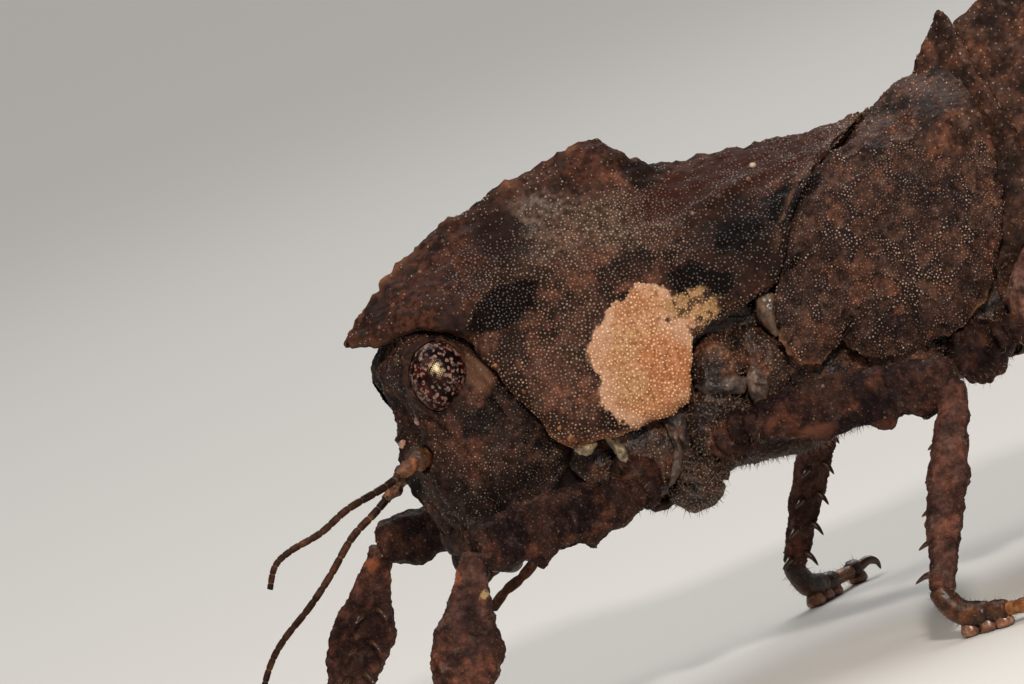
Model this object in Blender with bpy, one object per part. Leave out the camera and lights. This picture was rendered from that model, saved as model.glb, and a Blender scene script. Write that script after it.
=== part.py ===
"""A short-winged, bark-mimicking grasshopper as a life-size still model.

Sizes are millimetres in the design frame: X runs from head to tail with zero under the
highest point of the pronotum's crest, Y is zero on the middle plane with the left side
negative, and Z is the height above the floor. finish_object turns them into metres, and
the whole animal is moved at the end so that its box is centred over the origin.
"""

import math

import bmesh
import bpy
from mathutils import Vector

MM = 0.001
GAP = 0.3

# driving sizes of the animal
CREST_HEIGHT = 13.05
HOOD_TIP_X = -6.95
METAZONA_END_X = 6.5
ABDOMEN_START_X = 7.75
ABDOMEN_END_X = 24.6
BODY_HALF_WIDTH = 3.0
SHOULDER_HALF_WIDTH = 3.6
EYE_HALF_HEIGHT = 0.8
EYE_HALF_WIDTH = 0.64
EYE_LEAN = math.radians(20)
FEELER_RADIUS = 0.25
SPINE_RADIUS = 0.24
KNEE_HALF_DEPTH = 0.36

COLOURS = {
    "cuticle": ((0.105, 0.058, 0.042), 0.62),
    "pronotum": ((0.125, 0.064, 0.046), 0.6),
    "wing": ((0.11, 0.062, 0.048), 0.55),
    "eye": ((0.06, 0.012, 0.012), 0.18),
    "feeler": ((0.075, 0.038, 0.024), 0.5),
    "foot": ((0.16, 0.075, 0.035), 0.45),
}


def clear_scene():
    for thing in list(bpy.data.objects):
        bpy.data.objects.remove(thing, do_unlink=True)


def make_material(name):
    colour, roughness = COLOURS[name]
    material = bpy.data.materials.new(name)
    material.use_nodes = True
    shader = material.node_tree.nodes["Principled BSDF"]
    shader.inputs["Base Color"].default_value = (*colour, 1.0)
    shader.inputs["Roughness"].default_value = roughness
    shader.inputs["Metallic"].default_value = 0.0
    material.diffuse_color = (*colour, 1.0)
    return material


def add_loft(bm, rings):
    """Skin closed rings of equal length into one closed body with flat ends."""
    loops = [[bm.verts.new(point) for point in ring] for ring in rings]
    count = len(loops[0])
    for lower, upper in zip(loops, loops[1:]):
        for i in range(count):
            j = (i + 1) % count
            bm.faces.new((lower[i], lower[j], upper[j], upper[i]))
    bm.faces.new(list(reversed(loops[0])))
    bm.faces.new(loops[-1])


def finish_object(name, bm, material, parent):
    """Turn a mesh drawn in millimetres into a named object in metres."""
    bmesh.ops.scale(bm, vec=(MM, MM, MM), verts=bm.verts)
    bmesh.ops.recalc_face_normals(bm, faces=bm.faces)
    bmesh.ops.triangulate(bm, faces=bm.faces, quad_method="SHORT_EDGE")
    mesh = bpy.data.meshes.new(name)
    bm.to_mesh(mesh)
    bm.free()
    mesh.materials.append(material)
    mesh.shade_smooth()
    mesh.set_sharp_from_angle(angle=math.radians(40))
    thing = bpy.data.objects.new(name, mesh)
    bpy.context.scene.collection.objects.link(thing)
    thing.parent = parent
    return thing


def keep_largest_shell(mesh):
    """Drop every closed surface of a mesh but the largest."""
    bm = bmesh.new()
    bm.from_mesh(mesh)
    left = set(bm.verts)
    shells = []
    while left:
        stack = [left.pop()]
        shell = list(stack)
        while stack:
            for edge in stack.pop().link_edges:
                for vert in edge.verts:
                    if vert in left:
                        left.discard(vert)
                        stack.append(vert)
                        shell.append(vert)
        shells.append(shell)
    shells.sort(key=len)
    spare = [vert for shell in shells[:-1] for vert in shell]
    bmesh.ops.delete(bm, geom=spare, context="VERTS")
    bmesh.ops.triangulate(bm, faces=bm.faces, quad_method="SHORT_EDGE")
    bm.to_mesh(mesh)
    bm.free()


def fuse(body, pieces):
    """Join pieces to a body with one Boolean union on their collection, applied."""
    group = bpy.data.collections.new(body.name + "_pieces")
    bpy.context.scene.collection.children.link(group)
    for piece in pieces:
        bpy.context.scene.collection.objects.unlink(piece)
        group.objects.link(piece)
    union = body.modifiers.new("union", "BOOLEAN")
    union.operation = "UNION"
    union.operand_type = "COLLECTION"
    union.collection = group
    union.solver = "EXACT"
    bpy.context.view_layer.update()
    evaluated = body.evaluated_get(bpy.context.evaluated_depsgraph_get())
    joined = bpy.data.meshes.new_from_object(evaluated)
    joined.name = body.name
    body.modifiers.remove(union)
    body.data = joined
    for piece in pieces:
        bpy.data.objects.remove(piece, do_unlink=True)
    bpy.data.collections.remove(group)
    keep_largest_shell(joined)
    return body


# Profiles of a body section: height up the section against share of its half width
PRONOTUM_PROFILE = (
    (0.0, 0.93), (0.06, 1.0), (0.22, 0.985), (0.38, 0.9), (0.52, 0.77),
    (0.65, 0.6), (0.77, 0.42), (0.88, 0.24), (0.96, 0.11), (1.0, 0.05),
)
THORAX_PROFILE = (
    (0.0, 0.55), (0.12, 0.72), (0.28, 0.86), (0.45, 1.0), (0.65, 1.0),
    (0.82, 0.84), (0.94, 0.45), (1.0, 0.08),
)
ABDOMEN_PROFILE = (
    (0.0, 0.5), (0.07, 0.78), (0.22, 0.97), (0.42, 1.0), (0.58, 0.86),
    (0.72, 0.6), (0.84, 0.33), (0.93, 0.15), (1.0, 0.05),
)
PROTHORAX_PROFILE = ((0.0, 0.6), (0.2, 0.85), (0.55, 1.0), (1.0, 0.96))


def body_ring(top, bottom, half_width, profile):
    """One section of the body, from the lower left edge over the back to the right."""
    left = []
    for height, share in profile:
        x = bottom[0] + (top[0] - bottom[0]) * height
        z = bottom[1] + (top[1] - bottom[1]) * height
        left.append(Vector((x, -half_width * share, z)))
    right = [Vector((p.x, -p.y, p.z)) for p in reversed(left)]
    return left + right


def body_plate(name, stations, profile, material, parent):
    bm = bmesh.new()
    add_loft(bm, [body_ring(top, low, width, profile) for top, low, width in stations])
    return finish_object(name, bm, material, parent)


# The pronotum: sections from the hood's tip to the point over the back. Each holds the
# crest (x, z), the lower edge (x, z) and the half width.
PRONOTUM_STATIONS = (
    ((HOOD_TIP_X, 10.82), (-7.05, 10.57), 0.3),
    ((-6.39, 11.26), (-6.5, 10.38), 1.05),
    ((-5.81, 11.61), (-5.95, 10.4), 1.6),
    ((-5.25, 11.82), (-5.35, 10.25), 2.0),
    ((-4.74, 12.1), (-4.85, 9.9), 2.25),
    ((-4.1, 12.38), (-4.62, 9.4), 2.4),
    ((-3.26, 12.54), (-4.35, 8.6), 2.6),
    ((-2.7, 12.76), (-4.0, 7.7), 2.8),
    ((-2.1, 12.83), (-3.55, 6.75), 3.0),
    ((-1.32, 12.92), (-2.8, 6.65), 3.12),
    ((-0.6, 13.0), (-1.9, 6.6), 3.2),
    ((0.0, CREST_HEIGHT), (-1.1, 6.58), 3.25),
    ((0.35, 12.75), (-0.6, 6.68), 3.3),
    ((0.75, 12.35), (-0.3, 7.3), 3.3),
    ((1.15, 12.08), (-0.05, 7.95), 3.3),
    ((1.6, 11.88), (0.5, 8.2), 3.35),
    ((2.5, 11.82), (1.3, 8.33), 3.45),
    ((3.5, 11.62), (2.2, 8.5), SHOULDER_HALF_WIDTH),
    ((4.3, 11.52), (2.65, 9.35), 3.5),
    ((4.95, 11.45), (3.1, 10.0), 3.2),
    ((5.5, 11.41), (3.9, 10.6), 2.7),
    ((6.0, 11.41), (4.7, 10.95), 1.9),
    ((METAZONA_END_X, 11.45), (5.75, 11.2), 0.5),
)

# The two wing-bearing segments behind it, up to the first tergite
THORAX_STATIONS = (
    ((0.2, 6.25), (-0.35, 4.75), 2.35),
    ((0.5, 7.5), (0.35, 4.65), 2.75),
    ((1.5, 7.9), (1.2, 4.5), 2.85),
    ((2.35, 8.1), (2.5, 4.45), 2.9),
    ((3.15, 9.55), (3.8, 4.45), BODY_HALF_WIDTH),
    ((4.2, 10.3), (5.0, 4.5), BODY_HALF_WIDTH),
    ((5.4, 10.75), (6.1, 4.6), BODY_HALF_WIDTH),
    ((6.9, 11.35), (7.0, 4.7), BODY_HALF_WIDTH),
    ((7.4, 11.75), (7.4, 4.8), 2.9),
)

PROTHORAX_STATIONS = (
    ((-3.45, 6.1), (-3.35, 5.5), 1.3),
    ((-3.0, 6.25), (-2.9, 4.9), 1.75),
    ((-1.6, 6.25), (-1.6, 4.6), 1.85),
    ((-0.75, 6.2), (-0.9, 4.7), 1.8),
)


# Abdominal tergites: where each ends, the height of its tooth's tip, of the notch that
# follows, of its underside, and the half width there
TERGITES = (
    (9.0, 12.98, 12.55, 4.85, 2.95),
    (11.1, 13.35, 12.2, 4.8, 3.0),
    (13.4, 13.0, 11.75, 4.85, 2.95),
    (15.7, 12.4, 11.15, 5.0, 2.85),
    (17.9, 11.7, 10.45, 5.2, 2.65),
    (20.0, 10.9, 9.75, 5.45, 2.35),
    (21.9, 10.05, 9.05, 5.75, 2.0),
    (23.4, 9.2, 8.55, 6.05, 1.6),
)
TOOTH_BACK = 0.22
SEGMENT_STEP = 0.12


def abdomen_stations():
    """Each tergite rises along its crest to a tooth and steps down to the next one."""
    stations = [((ABDOMEN_START_X, 11.9), (ABDOMEN_START_X, 4.95), 2.75)]
    start = ABDOMEN_START_X
    notch_before = 11.9
    for end, tooth, notch, low, width in TERGITES:
        middle = start + (end - start) * 0.55
        rise = notch_before + (tooth - notch_before) * 0.45
        stations.append(((middle, rise), (middle, low + 0.02), width + SEGMENT_STEP))
        stations.append(((end - TOOTH_BACK, tooth), (end - TOOTH_BACK, low), width + SEGMENT_STEP))
        stations.append(((end, notch), (end, low + 2 * SEGMENT_STEP), width - SEGMENT_STEP))
        start = end
        notch_before = notch
    stations.append(((ABDOMEN_END_X, 8.2), (ABDOMEN_END_X, 6.5), 1.0))
    return stations


HEAD_SIDES = 16

# The head: height, front, back and half width of each level from the crown to the mouth
HEAD_LEVELS = (
    (10.02, -6.2, -5.45, 0.6),
    (9.88, -6.5, -5.2, 1.1),
    (9.5, -6.62, -5.03, 1.45),
    (9.1, -6.5, -4.87, 1.6),
    (8.5, -6.47, -4.62, 1.75),
    (8.1, -6.55, -4.5, 2.05),
    (7.6, -6.75, -4.3, 2.15),
    (7.1, -6.83, -4.1, 2.15),
    (6.5, -6.68, -3.9, 2.05),
    (6.0, -6.5, -3.95, 1.85),
    (5.5, -6.35, -4.2, 1.6),
)


def head_ring(height, front, back, half_width):
    """A level of the head, oval, with a narrow frontal ridge ahead and a flat back."""
    middle = (front + back) / 2
    depth = (back - front) / 2
    ring = []
    for step in range(HEAD_SIDES):
        angle = 2 * math.pi * step / HEAD_SIDES
        across = math.copysign(abs(math.sin(angle)) ** 0.75, math.sin(angle))
        along = math.copysign(abs(math.cos(angle)) ** 0.85, math.cos(angle))
        ring.append(Vector((middle - depth * along, half_width * across, height)))
    return ring


def make_head(material, parent):
    bm = bmesh.new()
    add_loft(bm, [head_ring(*level) for level in HEAD_LEVELS])
    return finish_object("head", bm, material, parent)


EYE_CENTRE = Vector((-5.7, 2.03, 9.3))
EYE_RINGS = ((0.0, 0.97), (0.16, 1.0), (0.32, 0.86), (0.44, 0.6), (0.5, 0.26))
EYE_SIDES = 16


def make_eye(side, material, parent):
    """A domed oval eye, its flat back beside the head, leaning back at the top."""
    rings = []
    for out, share in EYE_RINGS:
        ring = []
        for step in range(EYE_SIDES):
            angle = 2 * math.pi * step / EYE_SIDES
            across = EYE_HALF_WIDTH * share * math.cos(angle)
            up = EYE_HALF_HEIGHT * share * math.sin(angle)
            x = EYE_CENTRE.x + across * math.cos(EYE_LEAN) + up * math.sin(EYE_LEAN)
            z = EYE_CENTRE.z - across * math.sin(EYE_LEAN) + up * math.cos(EYE_LEAN)
            ring.append(Vector((x, side * (EYE_CENTRE.y + out), z)))
        rings.append(ring)
    bm = bmesh.new()
    add_loft(bm, rings)
    return finish_object("eye_" + side_name(side), bm, material, parent)


def side_name(side):
    return "left" if side < 0 else "right"


def frames_along(path, up_hint):
    """For each point of a path: the way forward, up and sideways."""
    frames = []
    for i, point in enumerate(path):
        before = path[max(i - 1, 0)]
        after = path[min(i + 1, len(path) - 1)]
        forward = (after - before).normalized()
        side = forward.cross(up_hint).normalized()
        up = side.cross(forward).normalized()
        frames.append((point, forward, up, side))
    return frames


# A leg section with an edge above and below, as shares of the reach up, down and sideways
KEELED = (
    (1.0, 0.14), (0.72, 0.72), (0.2, 1.0), (-0.3, 1.0), (-0.78, 0.72), (-1.0, 0.14),
    (-1.0, -0.14), (-0.78, -0.72), (-0.3, -1.0), (0.2, -1.0), (0.72, -0.72), (1.0, -0.14),
)


def round_section(sides):
    """A round section as (up, sideways) shares."""
    turns = [2 * math.pi * (step + 0.5) / sides for step in range(sides)]
    return tuple((math.cos(turn), math.sin(turn)) for turn in turns)


def limb_mesh(path, up_hint, sizes, section):
    """A limb along a path. Each size is the reach up, down and sideways there."""
    rings = []
    for (point, _forward, up, side), (above, below, beside) in zip(frames_along(path, up_hint), sizes):
        ring = []
        for high, wide in section:
            reach = above if high > 0 else below
            ring.append(point + up * (high * reach) + side * (wide * beside))
        rings.append(ring)
    bm = bmesh.new()
    add_loft(bm, rings)
    return bm


def straight_path(start, end, shares):
    return [start.lerp(end, share) for share in shares]


UP = Vector((0, 0, 1))


def make_straight_limb(name, start, end, stations, section, material, parent):
    """A limb between two points. Each station is its share of the length and its sizes."""
    path = straight_path(start, end, [station[0] for station in stations])
    bm = limb_mesh(path, UP, [station[1:] for station in stations], section)
    return finish_object(name, bm, material, parent)


def cone_mesh(root, tip, radius, sides, tip_share=0.12):
    """A pointed spine from its sunk root to its tip."""
    way = (tip - root).normalized()
    hint = UP if abs(way.z) < 0.9 else Vector((1, 0, 0))
    sizes = [(radius,) * 3, (radius * tip_share,) * 3]
    return limb_mesh([root, tip], hint, sizes, round_section(sides))


# Feelers: the left one curls down at its tip and the right one reaches further
FEELERS = {
    -1: ((-7.13, -1.35, 7.52), (-7.35, -1.55, 7.42), (-7.9, -1.85, 7.34), (-8.7, -2.1, 7.18),
         (-9.5, -2.2, 6.9), (-10.3, -2.2, 6.76), (-10.75, -2.2, 6.56), (-11.05, -2.2, 6.15)),
    1: ((-7.1, 1.3, 7.3), (-7.3, 1.35, 7.0), (-7.7, 1.4, 6.62), (-8.25, 1.4, 6.23),
        (-9.02, 1.4, 5.6), (-9.74, 1.4, 5.08), (-10.53, 1.45, 4.6), (-11.0, 1.5, 4.2),
        (-11.35, 1.55, 3.7), (-11.6, 1.6, 3.1)),
}
SCAPE_SHARE = 1.35
TIP_SHARE = 0.35


def make_feeler(side, material, parent):
    """The stout first joint and the thread of the feeler as one tapering body."""
    points = [Vector(point) for point in FEELERS[side]]
    last = len(points) - 1
    shares = [1.0 - 0.35 * i / last for i in range(last + 1)]
    shares[0] = SCAPE_SHARE
    shares[last] = TIP_SHARE
    sizes = [(FEELER_RADIUS * share,) * 3 for share in shares]
    bm = limb_mesh(points, UP, sizes, round_section(8))
    return finish_object("antenna_" + side_name(side), bm, material, parent)


# Mouthparts, each a path with the reach fore, aft and sideways at its points. Those of the
# jaw and the palp are on the right; the left ones mirror them.
LABRUM = (((-6.1, 0, 5.2), (0.28, 0.28, 1.1)), ((-6.05, 0, 4.75), (0.28, 0.28, 1.2)),
          ((-5.85, 0, 4.35), (0.2, 0.2, 0.8)))
MANDIBLE = (((-5.3, 0.85, 5.2), (0.38, 0.38, 0.5)), ((-5.3, 0.8, 4.8), (0.38, 0.38, 0.45)),
            ((-5.3, 0.6, 4.4), (0.22, 0.22, 0.25)))
PALP = (((-4.6, 1.25, 5.15), (0.26, 0.26, 0.26)), ((-4.75, 1.55, 4.7), (0.25, 0.25, 0.25)),
        ((-5.2, 1.75, 4.35), (0.25, 0.25, 0.25)), ((-5.75, 1.7, 4.1), (0.24, 0.24, 0.24)),
        ((-6.2, 1.5, 3.8), (0.14, 0.14, 0.14)))
FORWARD = Vector((-1, 0, 0))


def sided_limb(stations, side, up_hint, sides):
    """The mesh of a round limb from its stations, on the given side of the animal."""
    path = [Vector((x, side * y, z)) for (x, y, z), _sizes in stations]
    sizes = [station[1] for station in stations]
    return limb_mesh(path, up_hint, sizes, round_section(sides))


def make_mouth(cuticle, feeler, parent):
    """Upper lip, the two jaws and the two jointed palps under the head."""
    finish_object("labrum", sided_limb(LABRUM, 1, FORWARD, 10), cuticle, parent)
    for side in (-1, 1):
        name = side_name(side)
        finish_object("mandible_" + name, sided_limb(MANDIBLE, side, FORWARD, 8), cuticle, parent)
        finish_object("palp_" + name, sided_limb(PALP, side, UP, 7), feeler, parent)


# Wing lobe: its root, the corners that its margin runs through in turn, and how far its
# face stands out from the middle plane
WING_ROOT = Vector((4.3, 10.1))
WING_MARGIN = (
    (3.3, 9.55), (2.75, 8.9), (2.25, 8.1), (2.15, 7.3), (2.6, 6.7), (3.4, 6.6), (4.6, 6.3),
    (5.7, 6.1), (6.6, 6.5), (7.35, 7.3), (7.95, 8.4), (8.2, 9.5), (8.1, 10.5), (7.2, 11.0),
    (6.2, 11.0), (5.2, 10.75), (4.3, 10.35),
)
WING_INNER = BODY_HALF_WIDTH + GAP + 0.02
WING_THICKNESS = 0.5
VEIN_HEIGHT = 0.16
VEIN_EVERY = 2
WING_SHARES = (0.2, 0.45, 0.7, 0.9, 1.0)


def wing_point(margin, share, face, row, side):
    """A point of the wing lobe's inner (0) or outer (1) face, with veins raised outside."""
    x = WING_ROOT.x + (margin[0] - WING_ROOT.x) * share
    z = WING_ROOT.y + (margin[1] - WING_ROOT.y) * share
    vein = VEIN_HEIGHT if row % VEIN_EVERY == 0 and share < 1.0 else 0.0
    out = WING_INNER + face * (WING_THICKNESS + vein)
    return Vector((x, side * out, z))


def smooth_margin(points, per_span):
    """A closed Catmull-Rom curve through the points, leaving out nothing of its shape."""
    count = len(points)
    curve = []
    for i in range(count):
        p0, p1, p2, p3 = (Vector(points[(i + k - 1) % count]) for k in range(4))
        for step in range(per_span):
            t = step / per_span
            bend = (2 * p1 + (p2 - p0) * t + (2 * p0 - 5 * p1 + 4 * p2 - p3) * t ** 2
                    + (3 * p1 - p0 - 3 * p2 + p3) * t ** 3) / 2
            curve.append(tuple(bend))
    return curve


def make_wing(side, material, parent):
    """An oval wing lobe whose veins fan out from its root as raised ridges."""
    margin = smooth_margin(WING_MARGIN, 2)
    bm = bmesh.new()
    faces = []
    for face in (0, 1):
        hub = bm.verts.new(wing_point(WING_ROOT, 0.0, face, 0, side))
        rows = []
        for share in WING_SHARES:
            rows.append([bm.verts.new(wing_point(point, share, face, row, side))
                         for row, point in enumerate(margin)])
        count = len(margin)
        for i in range(count):
            j = (i + 1) % count
            bm.faces.new((hub, rows[0][i], rows[0][j]))
            for inner, outer in zip(rows, rows[1:]):
                bm.faces.new((inner[i], outer[i], outer[j]))
                bm.faces.new((inner[i], outer[j], inner[j]))
        faces.append(rows[-1])
    inside, outside = faces
    for i in range(len(inside)):
        j = (i + 1) % len(inside)
        bm.faces.new((inside[i], inside[j], outside[j], outside[i]))
    return finish_object("tegmen_" + side_name(side), bm, material, parent)


# Pieces at the tail: paths on the right with the reach up, down and sideways
EPIPROCT = (((24.9, 0, 7.75), (0.35, 0.25, 0.85)), ((25.4, 0, 7.7), (0.32, 0.25, 0.75)),
            ((26.1, 0, 7.5), (0.14, 0.12, 0.25)))
TAIL_PAIRS = {
    "cercus_": (((24.1, 1.62, 7.45), (0.28, 0.28, 0.28)), ((24.7, 1.68, 7.45), (0.25, 0.25, 0.25)),
                ((25.3, 1.62, 7.4), (0.1, 0.1, 0.1))),
    "valve_upper_": (((24.9, 0.5, 7.0), (0.25, 0.25, 0.3)), ((25.9, 0.5, 6.95), (0.25, 0.25, 0.3)),
                     ((26.7, 0.45, 7.2), (0.08, 0.08, 0.1))),
    "valve_lower_": (((24.9, 0.5, 6.35), (0.25, 0.25, 0.3)), ((25.8, 0.5, 6.3), (0.25, 0.25, 0.3)),
                     ((26.5, 0.45, 5.95), (0.08, 0.08, 0.1))),
}


def make_tail(material, parent):
    """The plate over the vent, the two cerci and the four digging valves."""
    finish_object("epiproct", sided_limb(EPIPROCT, 1, UP, 10), material, parent)
    for side in (-1, 1):
        for name, stations in TAIL_PAIRS.items():
            finish_object(name + side_name(side), sided_limb(stations, side, UP, 8), material, parent)


# Legs: hip, end of the trochanter, knee and ankle, and the way the foot points. The left
# legs stand as seen; the right ones are the same with the feet a little further on.
LEGS = {
    "fore": {
        "hip": (-2.15, 2.25, 5.6), "trochanter": (-2.1, 2.75, 5.15),
        "knee": (-6.85, 4.95, 5.6), "ankle": (-9.0, 6.1, 1.15), "toe": (-1.9, 0.75),
        "shift": (-0.5, 0.1),
    },
    "mid": {
        "hip": (0.15, 2.85, 5.7), "trochanter": (0.25, 3.2, 5.85),
        "knee": (4.75, 6.35, 5.45), "ankle": (2.35, 7.95, 1.15), "toe": (1.05, 1.0),
        "shift": (0.5, 0.15),
    },
    "hind": {
        "hip": (6.2, 2.95, 5.45), "trochanter": (6.75, 3.35, 5.6),
        "knee": (22.0, 6.5, 9.0), "ankle": (11.6, 8.0, 1.15), "toe": (2.2, 0.35),
        "shift": (-0.6, 0.1),
    },
}

# Stations along a limb: share of its length, then the reach up, down and sideways
COXA_STATIONS = ((0.0, 0.5, 0.5, 0.5), (0.5, 0.62, 0.62, 0.6), (1.0, 0.45, 0.45, 0.45))
SHORT_FEMUR_STATIONS = (
    (0.0, 0.36, 0.36, 0.34), (0.1, 0.55, 0.6, 0.45), (0.28, 0.7, 0.78, 0.5),
    (0.42, 0.66, 0.66, 0.5), (0.55, 0.74, 0.78, 0.48), (0.7, 0.6, 0.62, 0.45),
    (0.82, 0.58, 0.72, 0.42), (0.93, 0.46, 0.45, 0.42), (1.0, 0.4, 0.36, 0.34),
)
SHORT_TIBIA_STATIONS = {
    "fore": ((0.0, 0.3, 0.3, 0.3), (0.12, 0.42, 0.4, 0.34), (0.26, 0.6, 0.6, 0.36),
             (0.42, 0.85, 0.8, 0.38), (0.58, 0.78, 0.7, 0.38), (0.76, 0.5, 0.5, 0.34),
             (1.0, 0.3, 0.32, 0.3)),
    "mid": ((0.0, 0.32, 0.3, 0.3), (0.12, 0.46, 0.42, 0.34), (0.3, 0.44, 0.42, 0.36),
            (0.5, 0.56, 0.5, 0.36), (0.7, 0.5, 0.44, 0.34), (0.86, 0.38, 0.36, 0.32),
            (1.0, 0.3, 0.3, 0.3)),
}
HIND_FEMUR_STATIONS = (
    (0.0, 0.6, 0.6, 0.42), (0.05, 1.15, 1.0, 0.55), (0.14, 1.75, 1.55, 0.75),
    (0.25, 2.1, 1.95, 0.85), (0.36, 2.0, 1.8, 0.84), (0.47, 1.9, 1.75, 0.78),
    (0.58, 1.5, 1.3, 0.68), (0.69, 1.25, 1.15, 0.6), (0.8, 0.85, 0.8, 0.5),
    (0.9, 0.68, 0.62, 0.45), (0.96, 0.82, 0.75, 0.5), (1.0, 0.55, 0.5, 0.4),
)
HIND_TIBIA_SIZES = (
    (0.42, 0.42, 0.36), (0.5, 0.45, 0.4), (0.42, 0.38, 0.36), (0.4, 0.36, 0.34),
    (0.4, 0.36, 0.34), (0.42, 0.38, 0.36), (0.46, 0.42, 0.4),
)
HIND_TIBIA_SHARES = (0.25, 0.45, 0.65, 0.85, 1.0)
HIND_HEAD = (0.85, -0.15)
HIND_BEND = (0.55, -1.6)
HIND_SPINES = 8
HIND_SPINE_LENGTH = 0.85
SHORT_SPINES = 4
SHORT_SPINE_LENGTH = 0.5


def leg_point(leg, place, side):
    """A joint of a leg, with the right foot's knee and ankle moved on by its shift."""
    x, y, z = LEGS[leg][place]
    if side > 0 and place == "ankle":
        x += LEGS[leg]["shift"][0]
        y += LEGS[leg]["shift"][1]
    if side > 0 and place == "knee" and leg != "hind":
        x += LEGS[leg]["shift"][0] / 2
    return Vector((x, side * y, z))


def step_along(start, end, distance):
    """The point on the line from start to end that far past the start."""
    return start + (end - start).normalized() * distance


def make_coxa(leg, side, material, parent):
    name = leg + "_coxa_" + side_name(side)
    hip = leg_point(leg, "hip", side)
    end = leg_point(leg, "trochanter", side)
    make_straight_limb(name, hip, end, COXA_STATIONS, round_section(10), material, parent)


def make_femur(leg, side, material, parent):
    name = leg + "_femur_" + side_name(side)
    hip_end = leg_point(leg, "trochanter", side)
    knee = leg_point(leg, "knee", side)
    start = step_along(hip_end, knee, GAP + 0.2)
    stations = HIND_FEMUR_STATIONS if leg == "hind" else SHORT_FEMUR_STATIONS
    make_straight_limb(name, start, knee, stations, KEELED, material, parent)


def spine_rows(path_start, path_end, outward, count, length, lean, offset):
    """Spines in two rows along the back of a tibia, pointing out and down the limb."""
    axis = (path_end - path_start).normalized()
    across = axis.cross(outward).normalized()
    spines = []
    for row in (-1, 1):
        for step in range(count):
            share = 0.3 + 0.66 * step / (count - 1)
            root = path_start.lerp(path_end, share) + outward * offset * 0.25
            way = (outward + across * row * 0.55 + axis * lean).normalized()
            reach = offset + length * (0.85 + 0.3 * share)
            spines.append((root + across * row * 0.08, root + across * row * 0.1 + way * reach))
    return spines


def add_spines(body, spines, material, parent):
    """Fuse pointed spines, each from a sunk root to its tip, to a tibia."""
    pieces = []
    for number, (root, tip) in enumerate(spines):
        bm = cone_mesh(root, tip, SPINE_RADIUS, 4)
        pieces.append(finish_object("spine_%d" % number, bm, material, parent))
    fuse(body, pieces)


def make_short_tibia(leg, side, material, parent):
    """A tibia of the first two pairs, its broad faces looking sideways, with short spines."""
    name = leg + "_tibia_" + side_name(side)
    knee = leg_point(leg, "knee", side)
    ankle = leg_point(leg, "ankle", side)
    start = knee - UP * (KNEE_HALF_DEPTH + GAP)
    stations = SHORT_TIBIA_STATIONS[leg]
    path = straight_path(start, ankle, [station[0] for station in stations])
    bm = limb_mesh(path, FORWARD, [station[1:] for station in stations], KEELED)
    body = finish_object(name, bm, material, parent)
    inner = Vector((0, -side, 0))
    spines = spine_rows(start, ankle, inner, SHORT_SPINES, SHORT_SPINE_LENGTH, 0.6, 0.3)
    add_spines(body, spines, material, parent)


def make_hind_tibia(side, material, parent):
    """The long hind tibia, bent below the knee, with two rows of spines and end spurs."""
    name = "hind_tibia_" + side_name(side)
    knee = leg_point("hind", "knee", side)
    ankle = leg_point("hind", "ankle", side)
    head = knee + Vector((HIND_HEAD[0], 0, HIND_HEAD[1]))
    bend = knee + Vector((HIND_BEND[0], 0, HIND_BEND[1]))
    path = [head, bend] + straight_path(bend, ankle, HIND_TIBIA_SHARES)
    bm = limb_mesh(path, UP, HIND_TIBIA_SIZES, KEELED)
    body = finish_object(name, bm, material, parent)
    axis = (ankle - bend).normalized()
    outward = axis.cross(Vector((0, side, 0))).normalized()
    if outward.z > 0:
        outward = -outward
    spines = spine_rows(bend, ankle, outward, HIND_SPINES, HIND_SPINE_LENGTH, 0.5, 0.35)
    add_spines(body, spines, material, parent)


# A foot: three joints that come down from the ankle to the floor, pads beneath, and two
# claws either side of a rounded pad. Each joint is its start and end (on, up) and radius.
FOOT_JOINTS = (
    ((0.0, 0.62), (0.95, 0.42), 0.34),
    ((0.85, 0.4), (1.35, 0.36), 0.3),
    ((1.3, 0.38), (2.3, 0.34), 0.26),
)
FOOT_PADS = ((0.35, 0.22), (0.8, 0.22), (1.2, 0.24), (2.35, 0.26))
CLAW_LENGTH = 0.62
CLAW_RADIUS = 0.2


def make_foot(leg, side, material, parent):
    """The tarsus, flat under its pads at floor level."""
    name = leg + "_tarsus_" + side_name(side)
    ankle = leg_point(leg, "ankle", side)
    toe_x, toe_y = LEGS[leg]["toe"]
    way = Vector((toe_x, side * toe_y, 0)).normalized()
    across = Vector((-way.y, way.x, 0))
    heel = Vector((ankle.x, ankle.y, 0)) + way * 0.1

    def place(along, up, sideways=0.0):
        return heel + way * along + across * sideways + UP * up

    pieces = []
    for start, end, radius in FOOT_JOINTS:
        path = [place(*start), place((start[0] + end[0]) / 2, (start[1] + end[1]) / 2), place(*end)]
        sizes = [(radius * 0.75,) * 3, (radius,) * 3, (radius * 0.8,) * 3]
        bm = limb_mesh(path, UP, sizes, round_section(8))
        pieces.append(finish_object("joint", bm, material, parent))
    for along, radius in FOOT_PADS:
        path = [place(along, 0.0), place(along, 0.12), place(along, 0.4)]
        sizes = [(radius * 0.8,) * 3, (radius,) * 3, (radius * 0.7,) * 3]
        bm = limb_mesh(path, way, sizes, round_section(8))
        pieces.append(finish_object("pad", bm, material, parent))
    for hand in (-1, 1):
        path = [place(2.15, 0.34, hand * 0.08), place(2.5, 0.4, hand * 0.3),
                place(2.15 + CLAW_LENGTH, 0.16, hand * 0.42)]
        sizes = [(CLAW_RADIUS,) * 3, (CLAW_RADIUS * 0.8,) * 3, (CLAW_RADIUS * 0.25,) * 3]
        bm = limb_mesh(path, UP, sizes, round_section(6))
        pieces.append(finish_object("claw", bm, material, parent))
    body = pieces[0]
    body.name = name
    fuse(body, pieces[1:])


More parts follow.
